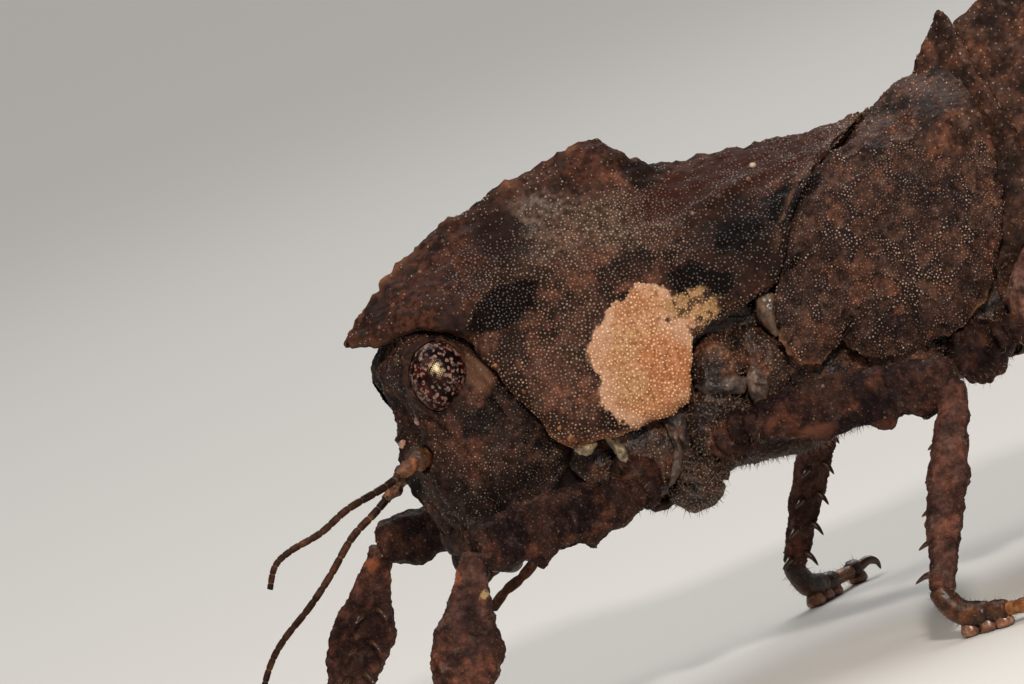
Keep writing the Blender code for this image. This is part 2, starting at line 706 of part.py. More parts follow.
def centre_over_floor(root):
    """Move the animal so that the middle of its box stands over the origin."""
    bpy.context.view_layer.update()
    corners = []
    for thing in bpy.data.objects:
        if thing.type == "MESH":
            corners.extend(thing.matrix_world @ vert.co for vert in thing.data.vertices)
    low_x = min(corner.x for corner in corners)
    high_x = max(corner.x for corner in corners)
    low_y = min(corner.y for corner in corners)
    high_y = max(corner.y for corner in corners)
    root.location = (-(low_x + high_x) / 2, -(low_y + high_y) / 2, 0.0)


def main():
    clear_scene()
    root = bpy.data.objects.new("barkhopper", None)
    bpy.context.scene.collection.objects.link(root)
    paint = {name: make_material(name) for name in COLOURS}
    body_plate("pronotum", PRONOTUM_STATIONS, PRONOTUM_PROFILE, paint["pronotum"], root)
    body_plate("prothorax", PROTHORAX_STATIONS, PROTHORAX_PROFILE, paint["cuticle"], root)
    body_plate("pterothorax", THORAX_STATIONS, THORAX_PROFILE, paint["cuticle"], root)
    body_plate("abdomen", abdomen_stations(), ABDOMEN_PROFILE, paint["cuticle"], root)
    make_head(paint["cuticle"], root)
    make_mouth(paint["cuticle"], paint["feeler"], root)
    make_tail(paint["cuticle"], root)
    for side in (-1, 1):
        make_eye(side, paint["eye"], root)
        make_feeler(side, paint["feeler"], root)
        make_wing(side, paint["wing"], root)
        for leg in LEGS:
            make_coxa(leg, side, paint["cuticle"], root)
            make_femur(leg, side, paint["cuticle"], root)
            make_foot(leg, side, paint["foot"], root)
        make_short_tibia("fore", side, paint["cuticle"], root)
        make_short_tibia("mid", side, paint["cuticle"], root)
        make_hind_tibia(side, paint["cuticle"], root)
    centre_over_floor(root)


main()
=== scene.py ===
"""A short-winged, bark-mimicking grasshopper, dressed over its solid model.

Every piece is drawn in the animal's own millimetres: X runs from head to tail with zero
under the highest point of the crest, Y is zero on the middle plane with the left side
negative, and Z is the height above the floor. settle carries a piece to its place.
"""

import math

import bmesh
import bpy
from mathutils import Matrix, Vector, noise
from mathutils.bvhtree import BVHTree
from mathutils.kdtree import KDTree


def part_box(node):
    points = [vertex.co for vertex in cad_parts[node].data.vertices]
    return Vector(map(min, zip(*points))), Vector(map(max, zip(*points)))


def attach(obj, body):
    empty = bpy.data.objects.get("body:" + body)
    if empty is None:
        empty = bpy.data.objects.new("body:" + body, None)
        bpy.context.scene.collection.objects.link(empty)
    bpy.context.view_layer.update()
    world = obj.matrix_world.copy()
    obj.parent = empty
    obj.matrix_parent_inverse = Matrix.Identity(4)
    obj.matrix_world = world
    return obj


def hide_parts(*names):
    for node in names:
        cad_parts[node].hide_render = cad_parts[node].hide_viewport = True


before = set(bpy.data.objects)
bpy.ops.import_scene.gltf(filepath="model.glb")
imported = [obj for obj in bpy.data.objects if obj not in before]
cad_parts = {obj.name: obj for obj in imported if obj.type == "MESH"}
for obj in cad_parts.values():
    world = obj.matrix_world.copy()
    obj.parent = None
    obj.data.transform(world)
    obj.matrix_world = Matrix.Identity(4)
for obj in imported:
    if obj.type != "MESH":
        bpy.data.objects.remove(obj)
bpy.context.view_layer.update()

# The studio: a wide pale floor, a broad light overhead and three soft ones, the smallest near
# the camera so that the grains of the skin glint. The camera looks at the left side from a
# little ahead, nearly level, and is rolled so that the tail climbs to the right.
MM = 0.001
HOOD_LIP_X = -7.05
hood_low, hood_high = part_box("pronotum")
SHIFT = Vector((hood_low.x - HOOD_LIP_X * MM, (hood_low.y + hood_high.y) / 2, 0.0))
LOOK_AT = Vector((-3.765, -2.0, 9.418)) * MM + SHIFT
CAMERA_YAW = math.radians(11)
CAMERA_DIP = math.radians(4)
CAMERA_ROLL = math.radians(20)
CAMERA_DISTANCE = 0.1957
CAMERA_LENS = 300.0
CEILING_POWER = 1.35
CEILING_TILT = (math.radians(-28), math.radians(14), 0.0)
CEILING_SPREAD = math.radians(50)
ROOM_COLOUR = (0.74, 0.72, 0.69, 1.0)
ROOM_POWER = 0.26
FLOOR_RADIUS = 6.0
FLOOR_COLOUR = (0.68, 0.66, 0.63, 1.0)

ahead = Vector((
    math.sin(CAMERA_YAW) * math.cos(CAMERA_DIP),
    math.cos(CAMERA_YAW) * math.cos(CAMERA_DIP),
    -math.sin(CAMERA_DIP),
))
level_right = Vector((math.cos(CAMERA_YAW), -math.sin(CAMERA_YAW), 0.0))
level_up = level_right.cross(ahead)
rolled_right = level_right * math.cos(CAMERA_ROLL) - level_up * math.sin(CAMERA_ROLL)
rolled_up = level_right * math.sin(CAMERA_ROLL) + level_up * math.cos(CAMERA_ROLL)

camera_data = bpy.data.cameras.new("camera")
camera_data.lens = CAMERA_LENS
camera_data.sensor_width = 36.0
camera_data.clip_start = 0.005
camera_data.clip_end = 20.0
camera = bpy.data.objects.new("camera", camera_data)
camera.matrix_world = Matrix.Translation(LOOK_AT - ahead * CAMERA_DISTANCE) @ Matrix((
    rolled_right, rolled_up, -ahead)).transposed().to_4x4()
bpy.context.scene.collection.objects.link(camera)
bpy.context.scene.camera = camera


def hang_light(name, place, size, power, colour):
    """A square soft light that faces the animal."""
    data = bpy.data.lights.new(name, "AREA")
    data.size = size
    data.energy = power
    data.color = colour
    light = bpy.data.objects.new(name, data)
    light.location = place
    light.rotation_euler = (LOOK_AT - place).to_track_quat("-Z", "Y").to_euler()
    bpy.context.scene.collection.objects.link(light)


WARM_WHITE = (1.0, 0.93, 0.84)
COOL_WHITE = (0.88, 0.94, 1.0)
# How far onward, up and aside of what the camera looks at, then size, power and colour
LIGHTS = (
    ("glint_light", (-0.17, 0.075, 0.03), 0.014, 0.24, WARM_WHITE),
    ("key_light", (-0.16, 0.26, -0.12), 0.16, 0.3, WARM_WHITE),
    ("back_light", (0.2, 0.22, 0.1), 0.16, 0.14, COOL_WHITE),
)
for light_name, (onward, up, aside), size, power, colour in LIGHTS:
    place = LOOK_AT + ahead * onward + level_up * up + level_right * aside
    hang_light(light_name, place, size, power, colour)

ceiling_data = bpy.data.lights.new("ceiling_light", "SUN")
ceiling_data.energy = CEILING_POWER
ceiling_data.angle = CEILING_SPREAD
ceiling_light = bpy.data.objects.new("ceiling_light", ceiling_data)
ceiling_light.rotation_euler = CEILING_TILT
bpy.context.scene.collection.objects.link(ceiling_light)

world = bpy.data.worlds.new("studio")
world.use_nodes = True
room_light = world.node_tree.nodes["Background"]
room_light.inputs["Color"].default_value = ROOM_COLOUR
room_light.inputs["Strength"].default_value = ROOM_POWER
bpy.context.scene.world = world
bpy.context.scene.view_settings.view_transform = "Standard"

floor_mesh = bmesh.new()
bmesh.ops.create_circle(floor_mesh, cap_ends=True, segments=96, radius=FLOOR_RADIUS)
floor_data = bpy.data.meshes.new("floor")
floor_mesh.to_mesh(floor_data)
floor_mesh.free()
floor = bpy.data.objects.new("floor", floor_data)
bpy.context.scene.collection.objects.link(floor)
floor_paint = bpy.data.materials.new("floor_paint")
floor_paint.use_nodes = True
floor_shader = floor_paint.node_tree.nodes["Principled BSDF"]
floor_shader.inputs["Base Color"].default_value = FLOOR_COLOUR
floor_shader.inputs["Roughness"].default_value = 0.85
floor_data.materials.append(floor_paint)


# The middle and hind thorax: the box of the body between the neck shield and the abdomen,
# a wrinkled dark skin. The plates of its sides, its breast and the wing hinges lie on it.
WELD = 0.0001


def held(value):
    """A number held between nought and one."""
    return min(max(value, 0.0), 1.0)


def along(rows, share):
    """A smooth run through rows of numbers, read at a share of the way along them."""
    last = len(rows) - 1
    place = held(share) * last
    i = min(int(place), last - 1)
    t = place - i
    before = rows[max(i - 1, 0)]
    after = rows[min(i + 2, last)]
    mixed = []
    for p0, p1, p2, p3 in zip(before, rows[i], rows[i + 1], after):
        mixed.append((2 * p1 + (p2 - p0) * t + (2 * p0 - 5 * p1 + 4 * p2 - p3) * t * t
                      + (3 * p1 - p0 - 3 * p2 + p3) * t ** 3) / 2)
    return mixed


def curve(points, x):
    """The height of a smooth line through (x, height) points, read at x."""
    last = len(points) - 1
    x = min(max(x, points[0][0]), points[last][0])
    i = 0
    while i < last - 1 and x > points[i + 1][0]:
        i += 1
    x0, y0 = points[i]
    x1, y1 = points[i + 1]
    xb, yb = points[max(i - 1, 0)]
    xa, ya = points[min(i + 2, last)]
    span = x1 - x0
    lean0 = (y1 - yb) / (x1 - xb) * span
    lean1 = (ya - y0) / (xa - x0) * span
    t = (x - x0) / span
    t2 = t * t
    t3 = t2 * t
    return (y0 * (2 * t3 - 3 * t2 + 1) + lean0 * (t3 - 2 * t2 + t)
            + y1 * (3 * t2 - 2 * t3) + lean1 * (t3 - t2))


def bell(distance, width):
    """A smooth bump of height one, that wide to each side."""
    return math.exp(-(distance / width) ** 2)


def off_line(x, z, line):
    """How far a point on the side of the animal is from a bent line."""
    nearest = 99.0
    for (x0, z0), (x1, z1) in zip(line, line[1:]):
        dx = x1 - x0
        dz = z1 - z0
        t = ((x - x0) * dx + (z - z0) * dz) / (dx * dx + dz * dz)
        t = held(t)
        nearest = min(nearest, math.hypot(x - x0 - dx * t, z - z0 - dz * t))
    return nearest


def skin(rows, columns, where):
    """A sheet of faces carried to where(u, v) says; its seams and poles are closed."""
    bm = bmesh.new()
    bmesh.ops.create_grid(bm, x_segments=rows, y_segments=columns, size=0.5)
    for vert in bm.verts:
        vert.co = where(vert.co.x + 0.5, vert.co.y + 0.5)
    bmesh.ops.remove_doubles(bm, verts=bm.verts, dist=WELD)
    bmesh.ops.recalc_face_normals(bm, faces=bm.faces)
    return bm


def roughen(bm, layers, shape=None):
    """Push a skin in and out by layers of noise (height, size), and by its own shape."""
    bm.normal_update()
    lifts = []
    for vert in bm.verts:
        lift = shape(vert.co) if shape else 0.0
        for height, size in layers:
            lift += height * noise.fractal(vert.co / size, 0.8, 2.1, 3)
        lifts.append(vert.normal * lift)
    for vert, lift in zip(bm.verts, lifts):
        vert.co += lift


def settle(name, bm, material):
    """Carry a finished skin from the animal's own millimetres to its place in the model."""
    bmesh.ops.scale(bm, vec=(MM, MM, MM), verts=bm.verts)
    bmesh.ops.translate(bm, vec=SHIFT, verts=bm.verts)
    mesh = bpy.data.meshes.new(name)
    bm.to_mesh(mesh)
    bm.free()
    mesh.shade_smooth()
    mesh.materials.append(material)
    piece = bpy.data.objects.new(name, mesh)
    bpy.context.scene.collection.objects.link(piece)
    return piece


def fix(slot, *pieces):
    """Fix pieces to the one body; slot is not used."""
    for piece in pieces:
        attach(piece, "root")


def add(tree, kind, feeds=None, **options):
    """Place a node, set its options, and give its inputs values or other nodes' outputs."""
    made = tree.nodes.new(kind)
    for option, value in options.items():
        setattr(made, option, value)
    for key, value in (feeds or {}).items():
        if isinstance(value, bpy.types.NodeSocket):
            tree.links.new(value, made.inputs[key])
        else:
            made.inputs[key].default_value = value
    return made


def sums(tree, operation, first, second=0.0, third=0.0):
    """The output of one sum on numbers or other nodes' outputs."""
    feeds = {0: first, 1: second, 2: third}
    return add(tree, "ShaderNodeMath", feeds, operation=operation).outputs[0]


def blend_colour(tree, share, first, second):
    """The output of a mix of two colours."""
    made = add(tree, "ShaderNodeMix", {0: share, 6: first, 7: second}, data_type="RGBA")
    return made.outputs[2]


def between(tree, value, low, high):
    """Nought below low, one above high, and smooth between them."""
    feeds = {"Value": value, "From Min": low, "From Max": high}
    return add(tree, "ShaderNodeMapRange", feeds, interpolation_type="SMOOTHSTEP").outputs[0]


def grain(tree, where, size, detail, shift=0.0):
    """The grey output of a noise whose lumps are about that many millimetres."""
    moved = add(tree, "ShaderNodeVectorMath", {0: where, 1: (shift, shift * 1.7, -shift)}, operation="ADD")
    feeds = {"Vector": moved.outputs[0], "Scale": 1.0 / size, "Detail": detail, "Roughness": 0.6}
    return add(tree, "ShaderNodeTexNoise", feeds).outputs["Fac"]


def new_group(name, inputs, outputs):
    """An empty shader group with named inputs and outputs, and its two ends."""
    tree = bpy.data.node_groups.new(name, "ShaderNodeTree")
    kinds = {"v": "NodeSocketVector", "c": "NodeSocketColor", "f": "NodeSocketFloat"}
    for socket, kind in inputs:
        tree.interface.new_socket(socket, in_out="INPUT", socket_type=kinds[kind])
    for socket, kind in outputs:
        tree.interface.new_socket(socket, in_out="OUTPUT", socket_type=kinds[kind])
    return tree, tree.nodes.new("NodeGroupInput"), tree.nodes.new("NodeGroupOutput")


def build_mottle():
    """Dark, brown, reddish and grey patches of bark, with a fine shagreen in its height."""
    inputs = [("Vector", "v"), ("Dark", "c"), ("Brown", "c"), ("Red", "c"), ("Grey", "c")]
    tree, start, end = new_group("bark_mottle", inputs, [("Color", "c"), ("Height", "f")])
    where = start.outputs["Vector"]
    broad = between(tree, grain(tree, where, 1.1, 3.0), 0.4, 0.6)
    colour = blend_colour(tree, broad, start.outputs["Dark"], start.outputs["Brown"])
    warm = between(tree, grain(tree, where, 0.7, 4.0, 7.3), 0.48, 0.7)
    colour = blend_colour(tree, warm, colour, start.outputs["Red"])
    pale = between(tree, grain(tree, where, 0.42, 4.0, -4.1), 0.56, 0.72)
    colour = blend_colour(tree, sums(tree, "MULTIPLY", pale, 0.7), colour, start.outputs["Grey"])
    black = between(tree, grain(tree, where, 0.5, 3.0, 12.9), 0.6, 0.72)
    black = sums(tree, "MULTIPLY", black, 0.75)
    colour = blend_colour(tree, black, colour, (0.012, 0.007, 0.007, 1.0))
    fine = grain(tree, where, 0.09, 3.0, 2.2)
    blotch = between(tree, grain(tree, where, 0.22, 3.0, 3.7), 0.34, 0.66)
    fine_light = sums(tree, "MULTIPLY_ADD", fine, 1.7, 0.15)
    bright = sums(tree, "MULTIPLY", fine_light, sums(tree, "MULTIPLY_ADD", blotch, 0.8, 0.55))
    lit = add(tree, "ShaderNodeVectorMath", {0: colour, "Scale": bright}, operation="SCALE")
    tree.links.new(lit.outputs[0], end.inputs["Color"])
    cells = add(tree, "ShaderNodeTexVoronoi", {"Vector": where, "Scale": 9.0}).outputs["Distance"]
    height = sums(tree, "SUBTRACT", sums(tree, "MULTIPLY", fine, 0.8), sums(tree, "MULTIPLY", cells, 0.7))
    tree.links.new(height, end.inputs["Height"])
    return tree


mottle = build_mottle()


def start_material(name):
    """A material with an empty shader, and its place on the animal in millimetres."""
    material = bpy.data.materials.new(name)
    material.use_nodes = True
    tree = material.node_tree
    shader = tree.nodes["Principled BSDF"]
    spot = add(tree, "ShaderNodeTexCoord").outputs["Object"]
    feeds = {"Vector": spot, "Location": -SHIFT / MM, "Scale": (1 / MM, 1 / MM, 1 / MM)}
    where = add(tree, "ShaderNodeMapping", feeds).outputs[0]
    return material, tree, shader, where


# How strongly a dry skin, a moist skin and a glassy bead mirror the light
DULL = 0.06
MOIST = 0.5
SKIN_INDEX = 1.5
BEAD_INDEX = 2.1
RELIEF_STRENGTH = 0.8


def finish_relief(tree, shader, height, depth):
    """Feed a height to the shader's normal; depth is in millimetres."""
    feeds = {"Height": height, "Distance": depth * MM, "Strength": RELIEF_STRENGTH}
    tree.links.new(add(tree, "ShaderNodeBump", feeds).outputs[0], shader.inputs["Normal"])


def finish_sheen(tree, shader, where, spread, gloss):
    """Let the roughness change over the surface, from gloss up by spread."""
    sheen = sums(tree, "MULTIPLY_ADD", grain(tree, where, 0.3, 2.0, 5.0), spread, gloss)
    tree.links.new(sheen, shader.inputs["Roughness"])


def mottled(tree, where, dark, brown, red, grey):
    """The bark mottle in four colours: its colour and its height."""
    patches = add(tree, "ShaderNodeGroup", node_tree=mottle)
    tree.links.new(where, patches.inputs["Vector"])
    for key, value in (("Dark", dark), ("Brown", brown), ("Red", red), ("Grey", grey)):
        patches.inputs[key].default_value = (*value, 1)
    return patches.outputs


def bark_material(name, dark, brown, red, grey, gloss, depth=0.03, shine=DULL, index=SKIN_INDEX):
    """Mottled cuticle in four colours, with its own roughness and relief."""
    material, tree, shader, where = start_material(name)
    shader.inputs["Specular IOR Level"].default_value = shine
    shader.inputs["IOR"].default_value = index
    patches = mottled(tree, where, dark, brown, red, grey)
    tree.links.new(patches["Color"], shader.inputs["Base Color"])
    finish_sheen(tree, shader, where, 0.35, gloss)
    finish_relief(tree, shader, patches["Height"], depth)
    return material


membrane_brown = bark_material(
    "membrane_brown", (0.018, 0.01, 0.009), (0.045, 0.024, 0.018), (0.07, 0.028, 0.018),
    (0.09, 0.065, 0.05), 0.3)

# Sections of the thorax: top x and z, low x and z, half width
THORAX = (
    (0.2, 6.25, -0.35, 4.75, 2.35), (0.5, 7.5, 0.35, 4.65, 2.75), (1.5, 7.9, 1.2, 4.5, 2.85),
    (2.35, 8.1, 2.5, 4.45, 2.9), (3.15, 9.55, 3.8, 4.45, 3.0), (4.2, 10.3, 5.0, 4.5, 3.0),
    (5.4, 10.75, 6.1, 4.6, 3.0), (6.9, 11.35, 7.0, 4.7, 3.0), (7.8, 11.75, 7.8, 4.8, 2.9),
)
BARREL = (
    (0.0, 0.0), (0.02, 0.35), (0.06, 0.58), (0.14, 0.74), (0.28, 0.86), (0.45, 0.97), (0.65, 0.98),
    (0.82, 0.84), (0.94, 0.45), (1.0, 0.0),
)


def body_spot(sections, outline, u, v):
    """A spot on a closed stretch of body: u along it, v from the belly round both sides."""
    top_x, top_z, low_x, low_z, wide = along(sections, u)
    turn = 2 * v
    height = turn if turn <= 1 else 2 - turn
    height = 0.5 - 0.5 * math.cos(math.pi * height)
    side = -1 if turn <= 1 else 1
    x = low_x + (top_x - low_x) * height
    z = low_z + (top_z - low_z) * height
    return Vector((x, side * wide * curve(outline, height), z))


def close_ends(bm):
    """Fill the open rings at both ends of a tube."""
    edges = [edge for edge in bm.edges if edge.is_boundary]
    bmesh.ops.holes_fill(bm, edges=edges, sides=0)
    bmesh.ops.recalc_face_normals(bm, faces=bm.faces)


core = skin(90, 110, lambda u, v: body_spot(THORAX, BARREL, u, v))
close_ends(core)
roughen(core, [(0.06, 0.9), (0.045, 0.25)], lambda spot: 0.03 * math.sin(spot.z * 9 + spot.x * 2) - 0.1)
belly_bed = core.copy()
thorax_core = settle("thorax_core", core, membrane_brown)
fix("cuticle", thorax_core)
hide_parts("pterothorax")


# The fore thorax: the dark folded skin of the neck between the head and the thorax, with
# the small plates that carry the first legs. Most of it is hidden by the neck shield.
NECK = (
    (-5.1, 9.2, -4.9, 6.4, 1.3), (-4.2, 9.4, -4.0, 5.3, 1.7), (-3.3, 9.4, -3.3, 4.95, 1.85),
    (-2.2, 9.3, -2.2, 4.75, 2.0), (-1.0, 9.0, -1.0, 4.7, 2.3), (0.6, 8.6, 0.6, 4.7, 2.6),
)


def fold_depth(spot):
    """Rings of folds in the skin of the neck."""
    return 0.05 * math.sin(spot.x * 7.5 + spot.z * 1.4)


neck_skin = skin(70, 90, lambda u, v: body_spot(NECK, BARREL, u, v))
close_ends(neck_skin)
roughen(neck_skin, [(0.05, 0.6), (0.03, 0.2)], fold_depth)
neck = settle("neck_folds", neck_skin, membrane_brown)
fix("cuticle", neck)
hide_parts("prothorax")


# The abdomen: eight rings of horny plate, each rising along the back to a tooth and lapping
# over the ring behind it, with flat plates beneath and soft skin between the two.

# Ring by ring: x of the hind edge, top of its tooth, notch behind it, lower edge, half width
TERGITES = (
    (9.0, 12.98, 12.55, 4.85, 2.95), (11.1, 13.35, 12.2, 4.8, 3.0), (13.4, 13.0, 11.75, 4.85, 2.95),
    (15.7, 12.4, 11.15, 5.0, 2.85), (17.9, 11.7, 10.45, 5.2, 2.65), (20.0, 10.9, 9.75, 5.45, 2.35),
    (21.9, 10.05, 9.05, 5.75, 2.0), (23.4, 9.2, 8.55, 6.05, 1.6),
)
ABDOMEN_CORE = (
    (7.5, 11.4, 7.5, 4.95, 2.6), (9.0, 11.7, 9.0, 4.95, 2.7), (11.1, 11.6, 11.1, 4.9, 2.75),
    (13.4, 11.2, 13.4, 4.95, 2.7), (15.7, 10.6, 15.7, 5.1, 2.6), (17.9, 9.9, 17.9, 5.3, 2.4),
    (20.0, 9.2, 20.0, 5.55, 2.1), (21.9, 8.6, 21.9, 5.85, 1.75), (23.4, 8.42, 23.4, 6.1, 1.5),
    (24.1, 8.2, 24.1, 6.2, 1.32), (24.7, 7.95, 24.7, 6.35, 1.05), (24.95, 7.7, 24.95, 6.6, 0.75),
)
RING_OUTLINE = (
    (0.0, 0.0), (0.02, 0.4), (0.07, 0.74), (0.13, 0.9), (0.22, 0.97), (0.42, 1.0), (0.58, 0.86), (0.72, 0.6),
    (0.84, 0.33), (0.93, 0.15), (0.98, 0.06), (1.0, 0.0),
)
PLATE_WALL = 0.05
PLATE_EDGE = 0.17
LAP = 0.35
UNDER_WINGS = (
    (4.2, 10.85, 4.2, 8.9, 2.8), (5.2, 11.1, 5.2, 8.8, 2.9), (6.0, 11.25, 6.0, 8.8, 2.95),
    (6.9, 11.58, 6.9, 8.8, 2.98), (7.6, 11.8, 7.6, 8.8, 2.96), (8.3, 12.0, 8.3, 8.8, 2.88),
)
UNDER_WINGS_OUTLINE = (
    (0.0, 0.0), (0.02, 0.4), (0.07, 0.74), (0.13, 0.9), (0.22, 0.97), (0.5, 1.0), (0.66, 0.93), (0.78, 0.76),
    (0.88, 0.5), (0.95, 0.24), (0.98, 0.1), (1.0, 0.0),
)
TERGITE_ROWS = 32
TERGITE_COLUMNS = 104
FIRST_RING_X = 7.75
FIRST_NOTCH = 11.9

ring_brown = bark_material(
    "ring_brown", (0.022, 0.011, 0.008), (0.06, 0.029, 0.02), (0.11, 0.044, 0.026), (0.095, 0.06, 0.047),
    0.38)
belly_brown = bark_material(
    "belly_brown", (0.05, 0.028, 0.02), (0.1, 0.058, 0.04), (0.12, 0.06, 0.036), (0.16, 0.11, 0.08), 0.36)


def sheet_spot(sections, outline, u, v, low_edge):
    """A spot on an open plate bent over the back, from its left lower edge to its right."""
    top_x, top_z, low_x, low_z, wide = along(sections, u)
    turn = 2 * v
    height = turn if turn <= 1 else 2 - turn
    height = low_edge + (1 - low_edge) * math.sin(math.pi / 2 * height) ** 1.1
    side = -1 if turn <= 1 else 1
    x = low_x + (top_x - low_x) * height
    z = low_z + (top_z - low_z) * height
    return Vector((x, side * wide * curve(outline, height), z))


def face_towards(bm, way):
    """Turn the faces of an open plate to look that way."""
    for face in bm.faces:
        if face.normal.dot(way) < 0:
            face.normal_flip()


def harden(bm, wall):
    """Give an open plate its thickness inwards."""
    bmesh.ops.solidify(bm, geom=bm.faces[:], thickness=wall)


plates = []
ring_beds = []
start_x = FIRST_RING_X
start_notch = FIRST_NOTCH
for number, (end_x, tooth, notch, low, wide) in enumerate(TERGITES, 1):
    rise = end_x - start_x
    climb = tooth - start_notch
    next_wide = TERGITES[min(number, len(TERGITES) - 1)][4]
    sections = (
        (start_x - LAP, start_notch - 0.35, start_x - LAP, low + 0.3, wide - 0.25),
        (start_x + 0.05, start_notch, start_x + 0.05, low + 0.12, wide - 0.02),
        (start_x + rise * 0.3, start_notch + climb * 0.34, start_x + rise * 0.3, low + 0.04, wide + 0.1),
        (start_x + rise * 0.6, start_notch + climb * 0.7, start_x + rise * 0.6, low, wide + 0.13),
        (start_x + rise * 0.85, start_notch + climb * 0.95, start_x + rise * 0.83, low, wide + 0.13),
        (end_x - 0.1, tooth, end_x - 0.05, low + 0.02, wide + 0.12),
        (end_x, notch + (tooth - notch) * 0.6, end_x + 0.06, low + 0.05, wide + 0.05),
        (end_x + 0.04, notch + (tooth - notch) * 0.25, end_x + 0.08, low + 0.07, (wide + next_wide) / 2),
        (end_x, notch - 0.06, end_x + 0.04, low + 0.1, next_wide - 0.08),
    )

    def ring_shape(spot):
        """A raised hind edge, a crease along the side and knobbly ridges over the plate."""
        edge = 0.06 * bell(spot.x - end_x + 0.15, 0.14)
        crease = -0.07 * bell(spot.z - low - 2.0 - 0.25 * math.sin(spot.x * 3), 0.16)
        ridge = 0.07 * bell(spot.z - low - 2.5 - 0.1 * math.sin(spot.x * 5), 0.2)
        return edge + crease + ridge

    tergite = skin(
        TERGITE_ROWS, TERGITE_COLUMNS, lambda u, v: sheet_spot(sections, RING_OUTLINE, u, v, PLATE_EDGE))
    roughen(tergite, [(0.07, 0.8), (0.05, 0.28)], ring_shape)
    ring_beds.append(tergite.copy())
    harden(tergite, PLATE_WALL)
    plates.append(settle("tergite_%d" % number, tergite, ring_brown))

    def belly_spot(u, v):
        """A shallow trough under the ring, its hind edge standing a little proud."""
        x = start_x - 0.15 + (end_x + 0.1 - start_x) * u
        across = 2 * v - 1
        drop = 0.05 * u - 0.75 * abs(across) ** 3.5
        return Vector((x, across * wide * 0.93, low - drop))

    sternite = skin(20, 44, belly_spot)
    face_towards(sternite, Vector((0, 0, -1)))
    roughen(sternite, [(0.04, 0.6), (0.02, 0.15)])
    harden(sternite, PLATE_WALL)
    plates.append(settle("sternite_%d" % number, sternite, belly_brown))
    start_x = end_x
    start_notch = notch

under_wings = skin(36, 90, lambda u, v: sheet_spot(UNDER_WINGS, UNDER_WINGS_OUTLINE, u, v, PLATE_EDGE))
roughen(under_wings, [(0.06, 0.8), (0.04, 0.25)], lambda spot: 0.05 * math.sin(spot.x * 4.5))
ring_beds.append(under_wings.copy())
harden(under_wings, PLATE_WALL)
plates.append(settle("back_plates_under_wings", under_wings, ring_brown))

fix("cuticle", *plates)

folds = skin(100, 64, lambda u, v: body_spot(ABDOMEN_CORE, RING_OUTLINE, u, v))
close_ends(folds)
roughen(folds, [(0.05, 0.5), (0.03, 0.2)], lambda spot: 0.03 * math.sin(spot.x * 11) - 0.05)
abdomen_folds = settle("abdomen_folds", folds, membrane_brown)
fix("cuticle", abdomen_folds)
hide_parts("abdomen")


# The neck shield: one stiff plate that runs out over the head as a hood, climbs to a sharp
# crest, hangs down each side of the neck as a lobe and ends in a point over the wing roots.
# Section by section: crest x and z, lower edge x and z, half width.
SHIELD = (
    (-6.95, 10.82, -7.05, 10.57, 0.3), (-6.39, 11.26, -6.5, 10.38, 1.05), (-5.81, 11.61, -5.95, 10.4, 1.6),
    (-5.25, 11.82, -5.35, 10.25, 2.0), (-4.74, 12.1, -4.85, 9.9, 2.25), (-4.1, 12.38, -4.62, 9.4, 2.4),
    (-3.26, 12.54, -4.35, 8.6, 2.6), (-2.7, 12.76, -4.0, 7.7, 2.8), (-2.1, 12.83, -3.55, 6.75, 3.0),
    (-1.32, 12.92, -2.8, 6.65, 3.12), (-0.6, 13.0, -1.9, 6.6, 3.2), (0.0, 13.05, -1.1, 6.58, 3.25),
    (0.35, 12.75, -0.6, 6.68, 3.3), (0.75, 12.35, -0.3, 7.3, 3.3), (1.15, 12.08, -0.05, 7.95, 3.3),
    (1.6, 11.88, 0.5, 8.2, 3.35), (2.5, 11.82, 1.3, 8.33, 3.45), (3.5, 11.62, 2.2, 8.5, 3.6),
    (4.3, 11.52, 2.65, 9.35, 3.5), (4.95, 11.45, 3.1, 10.0, 3.2), (5.5, 11.41, 3.9, 10.6, 2.7),
    (6.0, 11.41, 4.7, 10.95, 1.9), (6.5, 11.45, 5.75, 11.2, 0.5),
)
ROOF = (
    (0.0, 0.93), (0.06, 1.0), (0.22, 0.985), (0.38, 0.9), (0.52, 0.77), (0.65, 0.6), (0.77, 0.42),
    (0.88, 0.24), (0.95, 0.12), (0.985, 0.055), (1.0, 0.0),
)
SHIELD_WALL = 0.12
RIM_TURN = 0.07
SHIELD_ROWS = 155
SHIELD_COLUMNS = 172
FURROWS = (
    ((-0.94, 9.9), (-1.04, 9.44), (-1.07, 9.15), (-0.95, 8.87), (-0.7, 8.6)),
    ((-2.9, 10.9), (-2.7, 10.2), (-2.75, 9.3), (-2.6, 8.4)),
    ((0.45, 11.2), (0.2, 10.4), (0.1, 9.6)),
)
SHOULDER_LINE = ((0.7, 10.45), (1.18, 10.69), (1.99, 10.83), (2.79, 10.95), (3.79, 10.97), (4.6, 11.0))


def shield_spot(u, v):
    """A spot on the open sheet of the shield."""
    return sheet_spot(SHIELD, ROOF, u, v, 0.0)


def shield_shape(spot):
    """Furrows across the side, the shoulder ridge behind, and warts along the crest."""
    lift = 0.0
    if spot.z < 11.6:
        for line in FURROWS:
            lift -= 0.075 * bell(off_line(spot.x, spot.z, line), 0.07)
        if spot.x > 0.3:
            lift += 0.1 * bell(off_line(spot.x, spot.z, SHOULDER_LINE), 0.13)
    jagged = 0.11 if spot.x < 1.0 else 0.05
    lift += bell(spot.y, 0.35) * jagged * noise.fractal(Vector((spot.x * 2.4, 0.0, 3.0)), 0.7, 2.0, 3)
    return lift


